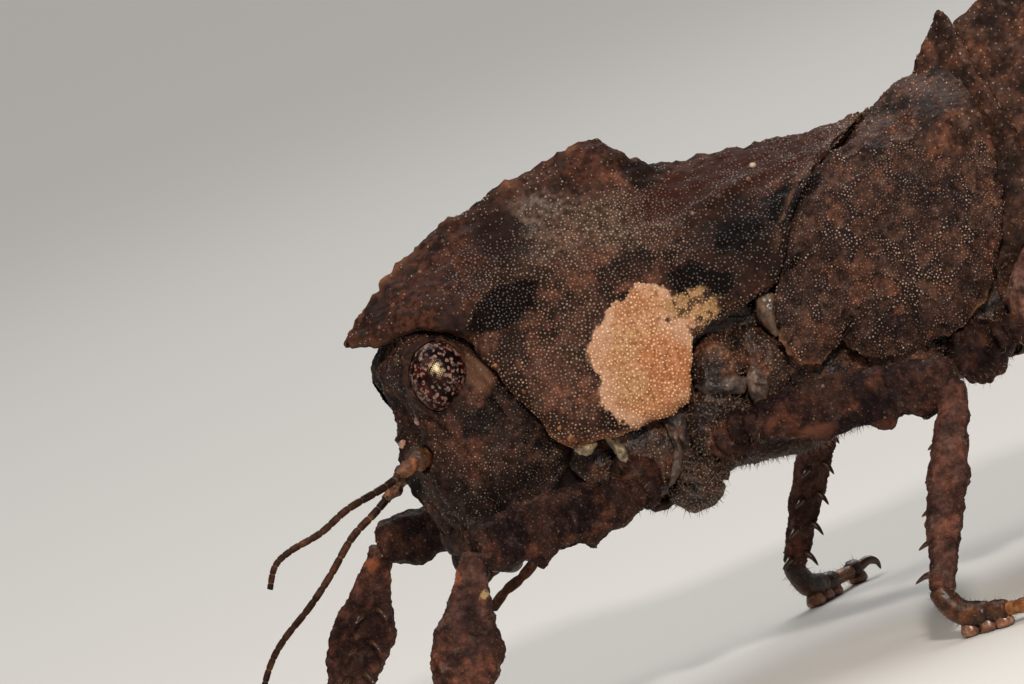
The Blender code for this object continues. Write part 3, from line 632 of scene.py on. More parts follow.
def line_inside(bm, inward):
    """Give an open plate its thickness: a copy of it moved by inward(spot), joined along the rim."""
    outer_rim = [edge for edge in bm.edges if edge.is_boundary]
    copied = bmesh.ops.duplicate(bm, geom=bm.verts[:] + bm.edges[:] + bm.faces[:])["geom"]
    for part in copied:
        if isinstance(part, bmesh.types.BMVert):
            part.co += inward(part.co)
    bmesh.ops.reverse_faces(bm, faces=[part for part in copied if isinstance(part, bmesh.types.BMFace)])
    inner_rim = [part for part in copied if isinstance(part, bmesh.types.BMEdge) and part.is_boundary]
    bmesh.ops.bridge_loops(bm, edges=outer_rim + inner_rim)
    bmesh.ops.recalc_face_normals(bm, faces=bm.faces)


def shield_inward(spot):
    """Inwards at the sides and down under the crest."""
    down = held((spot.z - 9.5) / 2.0)
    aside = math.copysign(min(abs(spot.y) * 0.6, SHIELD_WALL), spot.y)
    return Vector((0.0, -aside, -SHIELD_WALL * down))


shield = skin(SHIELD_ROWS, SHIELD_COLUMNS, shield_spot)
roughen(shield, [(0.1, 1.5), (0.07, 0.4), (0.028, 0.14)], shield_shape)


def oval_mask(tree, where, ovals, soft, reach=1.0):
    """One inside a union of soft ovals on the side of the animal: centre, half sizes, turn."""
    nearest = None
    for x, z, half_x, half_z, turn in ovals:
        feeds = {"Vector": where, "Location": (x, 0, z), "Rotation": (0, math.radians(-turn), 0),
                 "Scale": (half_x, 1000.0, half_z)}
        framed = add(tree, "ShaderNodeMapping", feeds, vector_type="TEXTURE").outputs[0]
        out = add(tree, "ShaderNodeVectorMath", {0: framed}, operation="LENGTH").outputs["Value"]
        nearest = out if nearest is None else sums(tree, "SMOOTH_MIN", nearest, out, 0.15)
    return sums(tree, "SUBTRACT", 1.0, between(tree, nearest, reach - soft, reach + soft))


def ragged(tree, where, size, amount, shift=0.0):
    """The same place pushed about by noise, so that the edge of a mark comes out ragged."""
    moved = add(tree, "ShaderNodeVectorMath", {0: where, 1: (shift, -shift, shift)}, operation="ADD")
    feeds = {"Vector": moved.outputs[0], "Scale": 1.0 / size, "Detail": 4.0, "Roughness": 0.65}
    cloud = add(tree, "ShaderNodeTexNoise", feeds).outputs["Color"]
    centred = add(tree, "ShaderNodeVectorMath", {0: cloud, 1: (0.5, 0.5, 0.5)}, operation="SUBTRACT")
    pushed = add(tree, "ShaderNodeVectorMath", {0: centred.outputs[0], "Scale": amount}, operation="SCALE")
    return add(tree, "ShaderNodeVectorMath", {0: where, 1: pushed.outputs[0]}, operation="ADD").outputs[0]


# Marks on the shield's side, each a union of ovals: x, z, half sizes, turn in degrees
PATCH_OVALS = (
    (-1.25, 8.35, 1.2, 0.85, 0), (-1.38, 7.5, 1.12, 1.0, 0), (-0.62, 9.15, 0.55, 0.56, 0),
    (-1.2, 8.85, 0.62, 0.6, 30), (-0.7, 7.6, 0.75, 0.85, 0), (0.2, 8.7, 0.42, 0.3, 10),
)
ARM_OVALS = ((0.42, 8.72, 0.34, 0.42, 0), (0.0, 8.85, 0.35, 0.25, 0))
RUST_OVALS = ((-0.9, 7.9, 0.6, 0.75, 20), (-0.35, 7.3, 0.45, 0.75, 0), (-1.3, 6.95, 0.8, 0.3, 0))
LOW_EDGE_OVALS = ((-0.9, 6.6, 1.3, 0.25, 4), (-0.2, 7.0, 0.3, 0.5, 0))
OLIVE_OVALS = ((-1.75, 7.6, 0.5, 0.5, 0), (-1.5, 8.5, 0.5, 0.35, 0))
# Black soot marks; the last oval, at the shield's hind margin over the wing root, is a painted shadow
SOOT_AND_SHADOW_OVALS = (
    (-3.7, 10.27, 1.0, 0.42, 14), (0.42, 9.35, 0.42, 0.42, 0), (0.95, 9.1, 0.35, 0.3, 0),
    (1.9, 9.95, 0.7, 0.3, 15), (3.2, 10.2, 0.5, 0.3, 30))
# Painted shade: the top of the back darkened against the light that falls on it from overhead
BACK_SHADE_OVALS = ((2.6, 11.15, 2.6, 0.5, 2), (-2.9, 11.9, 0.6, 0.35, 30))
DUSK_OVALS = (
    (1.9, 9.7, 1.6, 1.15, 0), (-3.0, 11.7, 0.7, 0.6, 0), (-3.9, 9.6, 0.7, 0.35, 50),
    (-0.6, 10.1, 0.6, 0.3, 0),
    (0.9, 12.0, 0.5, 0.3, -20), (-6.2, 11.2, 0.5, 0.12, 40), (-4.5, 12.1, 0.4, 0.12, 25))
FROST_OVALS = ((-1.7, 11.45, 1.35, 0.75, -5), (-0.5, 11.1, 1.0, 0.7, 0), (5.5, 11.3, 0.9, 0.14, 18))
ASH_OVALS = ((-2.4, 11.65, 0.5, 0.65, 10), (-1.75, 12.1, 0.5, 0.3, 0))
HOOD_OVALS = ((-5.3, 11.2, 2.2, 1.0, 20), (-0.4, 12.7, 1.0, 0.45, 0), (3.4, 11.35, 3.0, 0.5, 0))
# Painted shade: dark dots where small pits would hold shadow; the pits themselves are not modelled
PIT_SHADE_OVALS = ((-0.39, 8.7, 0.06, 0.06, 0), (0.62, 8.95, 0.08, 0.1, 0), (0.3, 8.5, 0.05, 0.05, 0))


def build_shield_colours():
    """Skin and grain colours of the shield: a peach patch, soot, a painted shadow at the hind margin, painted
    shade on the top of the back, frost and a rusty hood.
    """
    tree, start, end = new_group(
        "shield_colours", [("Vector", "v")], [("Skin", "c"), ("Grain", "c"), ("Patch", "f"), ("Height", "f")])
    where = start.outputs["Vector"]
    torn = ragged(tree, ragged(tree, where, 0.55, 0.5), 0.16, 0.16, 3.0)
    loose = ragged(tree, where, 0.8, 1.3, 5.0)
    patches = mottled(
        tree, where, (0.018, 0.009, 0.007), (0.064, 0.029, 0.02), (0.11, 0.042, 0.026), (0.08, 0.048, 0.036))
    skin_colour = patches["Color"]
    fine = between(tree, grain(tree, where, 0.14, 4.0, 1.1), 0.36, 0.64)
    grain_colour = blend_colour(tree, fine, (0.1, 0.055, 0.032, 1), (0.34, 0.22, 0.125, 1))

    def lay(mask, strength, over_skin, over_grain):
        """Lay a mark over the skin and over its grains."""
        nonlocal skin_colour, grain_colour
        share = sums(tree, "MULTIPLY", mask, strength)
        skin_colour = blend_colour(tree, share, skin_colour, over_skin)
        grain_colour = blend_colour(tree, share, grain_colour, over_grain)

    rusty = blend_colour(tree, fine, (0.016, 0.007, 0.006, 1), (0.088, 0.031, 0.017, 1))
    clouds = sums(tree, "MULTIPLY", between(tree, grain(tree, where, 0.8, 3.0, 12.0), 0.45, 0.6), 0.65)
    rusty = blend_colour(tree, clouds, rusty, (0.024, 0.016, 0.015, 1))
    lay(oval_mask(tree, loose, HOOD_OVALS, 0.3), 0.85, rusty, (0.12, 0.05, 0.03, 1))
    frost = blend_colour(tree, fine, (0.03, 0.018, 0.013, 1), (0.13, 0.08, 0.057, 1))
    lay(oval_mask(tree, loose, FROST_OVALS, 0.35), 0.7, frost, (0.3, 0.21, 0.15, 1))
    ash = blend_colour(tree, fine, (0.07, 0.05, 0.042, 1), (0.19, 0.14, 0.115, 1))
    marbled = between(tree, grain(tree, where, 0.42, 3.0, 2.0), 0.4, 0.58)
    marbled = sums(tree, "MULTIPLY", oval_mask(tree, torn, ASH_OVALS, 0.4), marbled)
    lay(marbled, 0.75, ash, (0.3, 0.22, 0.17, 1))
    # Painted shade on the top of the back
    lay(oval_mask(tree, loose, BACK_SHADE_OVALS, 0.35), 0.75, (0.034, 0.009, 0.005, 1), (0.055, 0.021, 0.011, 1))
    lay(oval_mask(tree, loose, DUSK_OVALS, 0.35), 0.8, (0.01, 0.005, 0.004, 1), (0.055, 0.03, 0.019, 1))
    tattered = ragged(tree, torn, 0.32, 0.3, 7.0)
    # Black soot marks, and a painted shadow at the shield's hind margin
    lay(oval_mask(tree, tattered, SOOT_AND_SHADOW_OVALS, 0.15), 0.98, (0.003, 0.0011, 0.0006, 1), (0.02, 0.01, 0.005, 1))
    patch = oval_mask(tree, torn, PATCH_OVALS, 0.05)
    peach_share = between(tree, grain(tree, where, 0.6, 3.0, 9.0), 0.35, 0.65)
    peach = blend_colour(tree, peach_share, (0.4, 0.185, 0.09, 1), (0.52, 0.29, 0.165, 1))
    speck = between(tree, grain(tree, where, 0.1, 3.0, 4.0), 0.3, 0.62)
    peach = blend_colour(tree, speck, (0.25, 0.1, 0.045, 1), peach)
    lay(patch, 0.97, peach, (0.78, 0.47, 0.27, 1))
    rust = sums(tree, "MULTIPLY", oval_mask(tree, loose, RUST_OVALS, 0.5), patch)
    rust_skin = blend_colour(tree, speck, (0.22, 0.07, 0.025, 1), (0.42, 0.16, 0.065, 1))
    lay(rust, 0.6, rust_skin, (0.75, 0.38, 0.18, 1))
    olive = sums(tree, "MULTIPLY", oval_mask(tree, loose, OLIVE_OVALS, 0.5), patch)
    olive_skin = blend_colour(tree, speck, (0.2, 0.11, 0.045, 1), (0.42, 0.25, 0.11, 1))
    lay(olive, 0.4, olive_skin, (0.74, 0.52, 0.28, 1))
    rim = sums(tree, "SUBTRACT", patch, oval_mask(tree, loose, PATCH_OVALS, 0.25, 0.8))
    lay(rim, 0.5, (0.52, 0.33, 0.23, 1), (0.8, 0.6, 0.44, 1))
    low_edge = sums(tree, "MULTIPLY", oval_mask(tree, loose, LOW_EDGE_OVALS, 0.5), patch)
    lay(low_edge, 0.75, (0.26, 0.095, 0.035, 1), (0.62, 0.3, 0.14, 1))
    arm = oval_mask(tree, ragged(tree, torn, 0.3, 0.45, 2.0), ARM_OVALS, 0.2)
    holes = between(tree, grain(tree, where, 0.18, 3.0, 6.0), 0.4, 0.54)
    straw = blend_colour(tree, holes, (0.045, 0.022, 0.01, 1), (0.34, 0.19, 0.085, 1))
    lay(arm, 0.9, straw, (0.5, 0.33, 0.17, 1))
    # Painted shade in the small pits
    lay(oval_mask(tree, where, PIT_SHADE_OVALS, 0.25), 0.9, (0.03, 0.014, 0.01, 1), (0.04, 0.02, 0.012, 1))
    tree.links.new(skin_colour, end.inputs["Skin"])
    tree.links.new(grain_colour, end.inputs["Grain"])
    tree.links.new(patch, end.inputs["Patch"])
    tree.links.new(patches["Height"], end.inputs["Height"])
    return tree


shield_colours = build_shield_colours()


def shield_material(name, use_grain, gloss, depth):
    """The shield's skin, or the grains on it, from the same marks."""
    material, tree, shader, where = start_material(name)
    marks = add(tree, "ShaderNodeGroup", node_tree=shield_colours)
    tree.links.new(where, marks.inputs["Vector"])
    colour = marks.outputs["Grain" if use_grain else "Skin"]
    shader.inputs["Specular IOR Level"].default_value = MOIST if use_grain else DULL
    shader.inputs["IOR"].default_value = BEAD_INDEX if use_grain else SKIN_INDEX
    if not use_grain:
        worn = add(tree, "ShaderNodeAttribute", attribute_name="edge").outputs["Fac"]
        broken = sums(tree, "MULTIPLY", worn, between(tree, grain(tree, where, 0.5, 3.0, 8.0), 0.3, 0.55))
        hind = between(tree, add(tree, "ShaderNodeSeparateXYZ", {0: where}).outputs["X"], 1.4, 2.0)
        worn_colour = blend_colour(tree, hind, (0.24, 0.095, 0.042, 1), (0.11, 0.055, 0.036, 1))
        colour = blend_colour(tree, broken, colour, worn_colour)
    tree.links.new(colour, shader.inputs["Base Color"])
    finish_sheen(tree, shader, where, 0.3, gloss)
    if depth:
        finish_relief(tree, shader, marks.outputs["Height"], depth)
    return material


shield_brown = shield_material("shield_brown", False, 0.52, 0.03)
shield_grain = shield_material("shield_grain", True, 0.16, 0.0)


def mark_edge(bm, width):
    """Note on every vertex how near it is to the open edge of a sheet."""
    layer = bm.verts.layers.float.new("edge")
    rim = [vert for vert in bm.verts if vert.is_boundary]
    tree = KDTree(len(rim))
    for number, vert in enumerate(rim):
        tree.insert(vert.co, number)
    tree.balance()
    for vert in bm.verts:
        vert[layer] = bell(tree.find(vert.co)[2], width)


def build_sowing():
    """Scatter small closed beads over a surface, part sunk in it and never too close."""
    tree = bpy.data.node_groups.new("bead_sowing", "GeometryNodeTree")
    sockets = (("Surface", "Geometry"), ("Spacing", "Float"), ("Count", "Float"), ("Radius", "Float"),
               ("Height", "Float"), ("Lean", "Float"), ("Seed", "Int"), ("Paint", "Material"))
    for socket, kind in sockets:
        tree.interface.new_socket(socket, in_out="INPUT", socket_type="NodeSocket" + kind)
    tree.interface.new_socket("Beads", in_out="OUTPUT", socket_type="NodeSocketGeometry")
    start = tree.nodes.new("NodeGroupInput").outputs
    end = tree.nodes.new("NodeGroupOutput")
    room = add(tree, "GeometryNodeInputNamedAttribute", {"Name": "room"}).outputs["Attribute"]
    grow = add(tree, "GeometryNodeInputNamedAttribute", {"Name": "grow"}).outputs["Attribute"]
    feeds = {"Mesh": start["Surface"], "Distance Min": start["Spacing"], "Density Max": start["Count"],
             "Density Factor": room, "Seed": start["Seed"]}
    spots = add(tree, "GeometryNodeDistributePointsOnFaces", feeds, distribute_method="POISSON").outputs
    bead = add(tree, "GeometryNodeMeshIcoSphere", {"Radius": 1.0, "Subdivisions": 1}).outputs["Mesh"]
    feeds = {"Vertices": 3, "Radius Top": 0.0, "Radius Bottom": 1.0, "Depth": 1.0}
    hair = add(tree, "GeometryNodeMeshCone", feeds).outputs["Mesh"]
    is_hair = sums(tree, "GREATER_THAN", start["Lean"], 0.0)
    shape = add(tree, "GeometryNodeSwitch", {"Switch": is_hair, "False": bead, "True": hair}).outputs[0]
    luck = add(tree, "FunctionNodeRandomValue", {2: 0.0, 3: 1.0, "Seed": start["Seed"]}).outputs[1]
    size = sums(tree, "MULTIPLY_ADD", sums(tree, "POWER", luck, 3.0), 0.6, 0.75)
    size = sums(tree, "MULTIPLY", size, grow)
    wide = sums(tree, "MULTIPLY", size, start["Radius"])
    high = sums(tree, "MULTIPLY", size, start["Height"])
    scale = add(tree, "ShaderNodeCombineXYZ", {"X": wide, "Y": wide, "Z": high}).outputs[0]
    feeds = {"Points": spots["Points"], "Instance": shape, "Rotation": spots["Rotation"], "Scale": scale}
    sown = add(tree, "GeometryNodeInstanceOnPoints", feeds).outputs[0]
    feeds = {"X": start["Lean"], "Y": start["Lean"], "Z": start["Lean"]}
    most = add(tree, "ShaderNodeCombineXYZ", feeds).outputs[0]
    least = add(tree, "ShaderNodeVectorMath", {0: most, "Scale": -1.0}, operation="SCALE").outputs[0]
    turn = add(tree, "FunctionNodeRandomValue", {0: least, 1: most}, data_type="FLOAT_VECTOR").outputs[0]
    leant = add(tree, "GeometryNodeRotateInstances", {"Instances": sown, "Rotation": turn}).outputs[0]
    solid = add(tree, "GeometryNodeRealizeInstances", {"Geometry": leant}).outputs[0]
    painted = add(tree, "GeometryNodeSetMaterial", {"Geometry": solid, "Material": start["Paint"]}).outputs[0]
    tree.links.new(painted, end.inputs[0])
    return tree


sowing = build_sowing()


def sow(name, hosts, beads, paint, seed, lean=0.0):
    """Beads (spacing, radius, height), or hairs where they lean, over host pieces, as one piece."""
    spacing, radius, height = beads
    joined = bmesh.new()
    for host in hosts:
        joined.from_mesh(host.data)
    bed_mesh = bpy.data.meshes.new(name)
    joined.to_mesh(bed_mesh)
    joined.free()
    for note in ("room", "grow"):
        if note not in bed_mesh.attributes:
            values = bed_mesh.attributes.new(note, "FLOAT", "POINT")
            values.data.foreach_set("value", [1.0] * len(bed_mesh.vertices))
    bed = bpy.data.objects.new(name, bed_mesh)
    bpy.context.scene.collection.objects.link(bed)
    scatter = bed.modifiers.new("beads", "NODES")
    scatter.node_group = sowing
    step = spacing * MM
    values = {"Spacing": step, "Count": 1.6 / (step * step), "Radius": radius * MM,
              "Height": height * MM, "Lean": lean, "Seed": seed, "Paint": paint}
    for item in sowing.interface.items_tree:
        if item.in_out == "INPUT" and item.name in values:
            scatter[item.identifier] = values[item.name]
    bed.update_tag()
    bpy.context.view_layer.update()
    seen = bed.evaluated_get(bpy.context.evaluated_depsgraph_get())
    sown = bpy.data.meshes.new_from_object(seen)
    sown.name = name
    bpy.data.objects.remove(bed)
    bpy.data.meshes.remove(bed_mesh)
    piece = bpy.data.objects.new(name, sown)
    bpy.context.scene.collection.objects.link(piece)
    if not sown.materials:
        sown.materials.append(paint)
    sown.shade_smooth()
    return piece


def lift(hosts):
    """Take away the sheets that only served as a bed for beads."""
    for host in hosts:
        bpy.data.objects.remove(host)


def keep_note(bm, name, share):
    """Note share(spot) on every vertex: how thickly (room) or how large (grow) the beads stand there."""
    layer = bm.verts.layers.float.new(name)
    for vert in bm.verts:
        vert[layer] = share(vert.co)


mark_edge(shield, 0.12)
worn_layer = shield.verts.layers.float["edge"]
shield.normal_update()
for vert in shield.verts:
    vert.co -= vert.normal * RIM_TURN * vert[worn_layer] ** 2 * (1 - bell(vert.co.x + 7.0, 0.7))
    low_or_hind = max(min((7.7 - vert.co.z) / 0.6, 1.0), min((vert.co.x - 2.0) / 1.0, 1.0), 0.22)
    crest = bell(vert.co.y, 0.2) * min(max(1.6 * noise.noise(vert.co * 1.4), 0.0), 0.8)
    vert[worn_layer] = max(vert[worn_layer] * low_or_hind, crest)
GRAIN_SPLIT_X = -0.9
SHIELD_BEADS = (0.072, 0.026, 0.023)


def keep_half(bm, plane_co, plane_no, keep_inner):
    """Cut a sheet in two along a plane and keep the half behind the plane, or the one before it."""
    bmesh.ops.bisect_plane(
        bm, geom=bm.verts[:] + bm.edges[:] + bm.faces[:], plane_co=plane_co, plane_no=plane_no,
        clear_outer=keep_inner, clear_inner=not keep_inner)


def shield_room(spot):
    """Grains stand thickly on the sides and thinly on the hood and the flat of the back."""
    back = held((spot.x - 0.3) / 1.2)
    hood = held((-4.2 - spot.x) / 0.8)
    top = held((spot.z - 11.2) / 0.9)
    clumps = 0.3 * noise.noise(spot * 1.3)
    return max(0.06, 1.0 + clumps - 0.35 * back - 0.9 * hood - 0.75 * top)


def shield_grow(spot):
    """They are largest on the pale patch of each side."""
    return 0.95 + 0.2 * bell(math.hypot(spot.x + 1.2, spot.z - 8.0), 1.3)


QUARTERS = (("left", "front"), ("left", "hind"), ("right", "front"), ("right", "hind"))
for number, (half, end) in enumerate(QUARTERS):
    bed = shield.copy()
    keep_half(bed, (0, 0, 0), (0, 1, 0), half == "left")
    keep_half(bed, (GRAIN_SPLIT_X, 0, 0), (1, 0, 0), end == "front")
    keep_note(bed, "room", shield_room)
    keep_note(bed, "grow", shield_grow)
    host = settle("shield_bed", bed, shield_grain)
    grains = sow("shield_grains_" + half + "_" + end, [host], SHIELD_BEADS, shield_grain, seed=3 + number)
    lift([host])
    fix("pronotum", grains)

line_inside(shield, shield_inward)
shield_piece = settle("neck_shield", shield, shield_brown)
fix("pronotum", shield_piece)
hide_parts("pronotum")


# The head: a stiff upright capsule with a grooved ridge down the face, a socket for each
# feeler, a furrow below each eye and full grainy cheeks that narrow to the jaws.
# Level by level: height, front, back, half width.
HEAD_LEVELS = (
    (10.7, -5.6, -5.6, 0.0), (10.66, -5.8, -5.3, 0.6), (10.45, -6.0, -4.9, 1.25), (10.15, -6.22, -4.6, 1.62),
    (9.85, -6.53, -4.4, 1.84), (9.5, -6.6, -4.25, 1.98), (9.1, -6.45, -4.0, 2.14), (8.5, -6.37, -3.8, 2.32),
    (8.1, -6.43, -3.4, 2.43), (7.6, -6.6, -3.2, 2.52), (7.1, -6.63, -3.05, 2.56), (6.5, -6.5, -3.1, 2.46),
    (6.0, -6.38, -3.7, 2.17), (5.6, -6.25, -4.45, 1.75), (5.42, -5.95, -4.8, 1.1), (5.4, -5.3, -5.3, 0.0),
)
HEAD_ROWS = 130
HEAD_COLUMNS = 170
HEAD_BEADS = (0.069, 0.019, 0.017)
EYE_PLACE = Vector((-5.68, 2.09, 9.3))
EYE_LEAN = math.radians(20)
EYE_HALF_HEIGHT = 0.79
EYE_HALF_WIDTH = 0.67
EYE_DEPTH = 0.52
FEELER_SOCKET = Vector((-6.5, 1.45, 7.55))
UNDER_EYE = ((-6.12, 8.45), (-5.96, 8.05), (-5.8, 7.6), (-5.62, 7.0), (-5.45, 6.4), (-5.4, 5.8))
JAW_SEAM = ((-5.9, 6.3), (-5.4, 6.15), (-5.0, 5.95), (-4.6, 6.1))
TAN_MARKS = ((-4.8, 9.05, 0.28, 0.5, 20),)
CHEEK_SEAM = ((-4.75, 9.2), (-4.6, 8.3), (-4.35, 7.4), (-4.2, 6.6), (-4.4, 6.0))


def head_spot(u, v):
    """A spot on the capsule: u from its crown down to the mouth, v round it from the face."""
    z, front, back, wide = along(HEAD_LEVELS, u)
    turn = 2 * math.pi * v
    fullness = 0.75 if math.cos(turn) > 0 else 0.4
    across = math.copysign(abs(math.sin(turn)) ** fullness, math.sin(turn))
    depth = math.copysign(abs(math.cos(turn)) ** 0.85, math.cos(turn))
    return Vector(((front + back) / 2 - (back - front) / 2 * depth, wide * across, z))


def head_shape(spot):
    """The face ridge and its groove, side ridges, feeler sockets, furrows and eye rims."""
    lift = 0.0
    beside = abs(spot.y)
    facing = held((-5.7 - spot.x) / 0.6)
    down_face = held((9.9 - spot.z) / 0.8)
    lift += facing * down_face * (0.17 * bell(beside - 0.2, 0.16) - 0.05 * bell(beside, 0.09))
    lift += facing * 0.09 * bell(beside - 1.55, 0.14) * held((8.4 - spot.z) / 0.8)
    lift -= facing * 0.13 * bell(beside - 0.8, 0.35) * bell(spot.z - 8.3, 0.9)
    socket = math.hypot(beside - FEELER_SOCKET.y, spot.z - FEELER_SOCKET.z)
    lift += facing * (0.12 * bell(socket - 0.36, 0.1) - 0.16 * bell(socket, 0.24))
    if beside > 0.9:
        lift -= 0.1 * bell(off_line(spot.x, spot.z, UNDER_EYE), 0.07)
        lift += 0.05 * bell(off_line(spot.x, spot.z, UNDER_EYE) - 0.17, 0.09)
        lift -= 0.06 * bell(off_line(spot.x, spot.z, JAW_SEAM), 0.06)
        lift -= 0.05 * bell(off_line(spot.x, spot.z, CHEEK_SEAM), 0.06)
        ring = math.hypot(spot.x - EYE_PLACE.x, (spot.z - EYE_PLACE.z) * 0.82)
        lift += 0.14 * bell(ring, 0.85)
    return lift


head_brown = bark_material(
    "head_brown", (0.01, 0.006, 0.005), (0.035, 0.017, 0.013), (0.08, 0.032, 0.02), (0.065, 0.043, 0.034),
    0.36)
grain_gold = bark_material(
    "grain_gold", (0.06, 0.034, 0.022), (0.2, 0.125, 0.072), (0.25, 0.125, 0.066), (0.32, 0.23, 0.155), 0.1,
    0.004, MOIST, BEAD_INDEX)
leg_grain = bark_material(
    "leg_grain", (0.03, 0.016, 0.012), (0.08, 0.042, 0.03), (0.14, 0.056, 0.034), (0.17, 0.11, 0.085), 0.16,
    0.004, MOIST)


def lay_mark(material, ovals, colour, strength):
    """Lay ragged marks of another colour over a material."""
    tree = material.node_tree
    paint = tree.nodes["Principled BSDF"].inputs["Base Color"]
    torn = ragged(tree, tree.nodes["Mapping"].outputs[0], 0.3, 0.45)
    share = sums(tree, "MULTIPLY", oval_mask(tree, torn, ovals, 0.35), strength)
    tree.links.new(blend_colour(tree, share, paint.links[0].from_socket, colour), paint)


lay_mark(head_brown, TAN_MARKS, (0.14, 0.068, 0.04, 1), 0.7)
capsule = skin(HEAD_ROWS, HEAD_COLUMNS, head_spot)
roughen(capsule, [(0.07, 0.7), (0.035, 0.24), (0.012, 0.09)], head_shape)


def head_room(spot):
    """Grains stand thickly on the cheeks, thinly on the face, and not around the eyes."""
    ring = math.hypot(spot.x - EYE_PLACE.x, (spot.z - EYE_PLACE.z) * 0.85)
    if ring < 0.7 or spot.x > -3.6:
        return 0.0
    cheek = held((spot.x + 6.3) / 0.5)
    return 0.3 + 0.7 * cheek * (0.65 + 0.55 * noise.noise(spot * 1.6))


keep_note(capsule, "room", head_room)
head = settle("head_capsule", capsule, head_brown)
fix("cuticle", head)
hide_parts("head")
head_grains = sow("head_grains", [head], HEAD_BEADS, grain_gold, seed=11)
fix("cuticle", head_grains)


# The eyes: oval domes of some thousands of six-sided lenses, dark maroon with cream flecks,
# each in a smooth raised rim, and three glassy beads of simple eyes on the face.
LENS_RISE = 0.011
EYE_TAPER = 0.28
EYE_CUT = 0.12
# Where a painted reflection of the lights lies on each eye: a warm spot of lit lens dots, brightest at its
# heart
REFLECTION_OVALS = ((-5.74, 9.5, 0.14, 0.16, 0),)
REFLECTION_HEART = ((-5.74, 9.5, 0.055, 0.07, 0),)
SIDES = ((-1, "left"), (1, "right"))

eye_maroon, tree, shader, where = start_material("eye_maroon")
torn = ragged(tree, where, 0.07, 0.07)
feeds = {"Vector": torn, "Scale": 9.0, "Randomness": 1.0}
flecks = add(tree, "ShaderNodeTexVoronoi", feeds).outputs["Distance"]
fleck_size = sums(tree, "MULTIPLY_ADD", grain(tree, where, 0.3, 2.0, 6.0), 0.75, 0.12)
fleck = sums(tree, "SUBTRACT", 1.0, between(tree, sums(tree, "SUBTRACT", flecks, fleck_size), -0.12, 0.06))
broken = sums(tree, "MULTIPLY", fleck, between(tree, grain(tree, where, 0.07, 2.0, 9.0), 0.4, 0.6))
ruby = between(tree, grain(tree, where, 0.35, 2.0, 1.0), 0.4, 0.7)
depths = blend_colour(tree, ruby, (0.003, 0.0009, 0.0008, 1), (0.05, 0.006, 0.003, 1))
cream = blend_colour(tree, grain(tree, where, 0.15, 2.0, 4.0), (0.09, 0.035, 0.026, 1), (0.42, 0.26, 0.21, 1))
eye_colour = blend_colour(tree, broken, depths, cream)
# Painted reflection: lit lens dots in a warm spot near the middle of the eye, brightest at its heart
feeds = {"Vector": where, "Scale": 26.0, "Randomness": 0.15}
lens_glints = add(tree, "ShaderNodeTexVoronoi", feeds).outputs["Distance"]
lit = sums(tree, "SUBTRACT", 1.0, between(tree, lens_glints, 0.25, 0.5))
painted_reflection = sums(tree, "MULTIPLY", lit, oval_mask(tree, where, REFLECTION_OVALS, 0.6))
painted_reflection = sums(tree, "MAXIMUM", painted_reflection, oval_mask(tree, where, REFLECTION_HEART, 0.9))
eye_colour = blend_colour(tree, painted_reflection, eye_colour, (0.85, 0.66, 0.36, 1))
tree.links.new(eye_colour, shader.inputs["Base Color"])
shader.inputs["Roughness"].default_value = 0.3
shader.inputs["Specular IOR Level"].default_value = 0.12

glassy, tree, shader, where = start_material("simple_eye")
colour = blend_colour(tree, grain(tree, where, 0.1, 1.0), (0.2, 0.07, 0.035, 1), (0.5, 0.26, 0.17, 1))
tree.links.new(colour, shader.inputs["Base Color"])
shader.inputs["Roughness"].default_value = 0.08
shader.inputs["Coat Weight"].default_value = 1.0

# How far out a ring of the rim lies, and its size as a share of the eye's
RIM_RINGS = ((-0.4, 1.17), (-0.2, 1.15), (-0.08, 1.11), (-0.03, 1.07), (-0.03, 1.03), (-0.08, 0.99),
             (-0.2, 0.94))
# Place and radius
SIMPLE_EYES = ((-6.24, -1.05, 8.42, 0.13), (-6.24, 1.05, 8.42, 0.13), (-6.6, 0.0, 7.95, 0.11))


def tilt_eye(bm, side):
    """Lean an upright eye back at the top and put it in its place beside the head."""
    turn = Matrix.Rotation(EYE_LEAN, 4, "Y")
    place = Matrix.Translation((EYE_PLACE.x, side * EYE_PLACE.y, EYE_PLACE.z))
    bmesh.ops.transform(bm, matrix=place @ turn, verts=bm.verts)


def eye_width(height):
    """Half the eye's width at a height of its outline, which tapers below."""
    return EYE_HALF_WIDTH * (1 - EYE_TAPER * max(0.0, -height) ** 1.5)


for side, side_name in SIDES:
    eye = bmesh.new()
    bmesh.ops.create_icosphere(eye, subdivisions=6, radius=1.0)
    lenses = len(eye.verts)
    bmesh.ops.subdivide_edges(eye, edges=eye.edges[:], cuts=1, use_grid_fill=True)
    eye.verts.ensure_lookup_table()
    for vert in eye.verts:
        vert.co.normalize()
        reach = 1.0 + (LENS_RISE if vert.index < lenses else 0.0)
        x, y, z = vert.co
        vert.co = Vector((x * eye_width(z), y * EYE_DEPTH, z * EYE_HALF_HEIGHT)) * reach
    parts = eye.verts[:] + eye.edges[:] + eye.faces[:]
    bmesh.ops.bisect_plane(
        eye, geom=parts, plane_co=(0, side * -EYE_CUT, 0), plane_no=(0, side, 0), clear_inner=True)
    close_ends(eye)
    tilt_eye(eye, side)
    eye_piece = settle("eye_lenses_" + side_name, eye, eye_maroon)
    fix("eye", eye_piece)
    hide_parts("eye_" + side_name)

    def rim_spot(u, v):
        """A spot on the ring of skin round the eye."""
        out, share = along(RIM_RINGS, u)
        turn = 2 * math.pi * v
        wide = eye_width(math.sin(turn))
        return Vector((wide * share * math.cos(turn), side * out, EYE_HALF_HEIGHT * share * math.sin(turn)))

    rim = skin(20, 110, rim_spot)
    roughen(rim, [(0.04, 0.25), (0.02, 0.08)])
    tilt_eye(rim, side)
    rim_piece = settle("eye_rim_" + side_name, rim, head_brown)
    fix("cuticle", rim_piece)

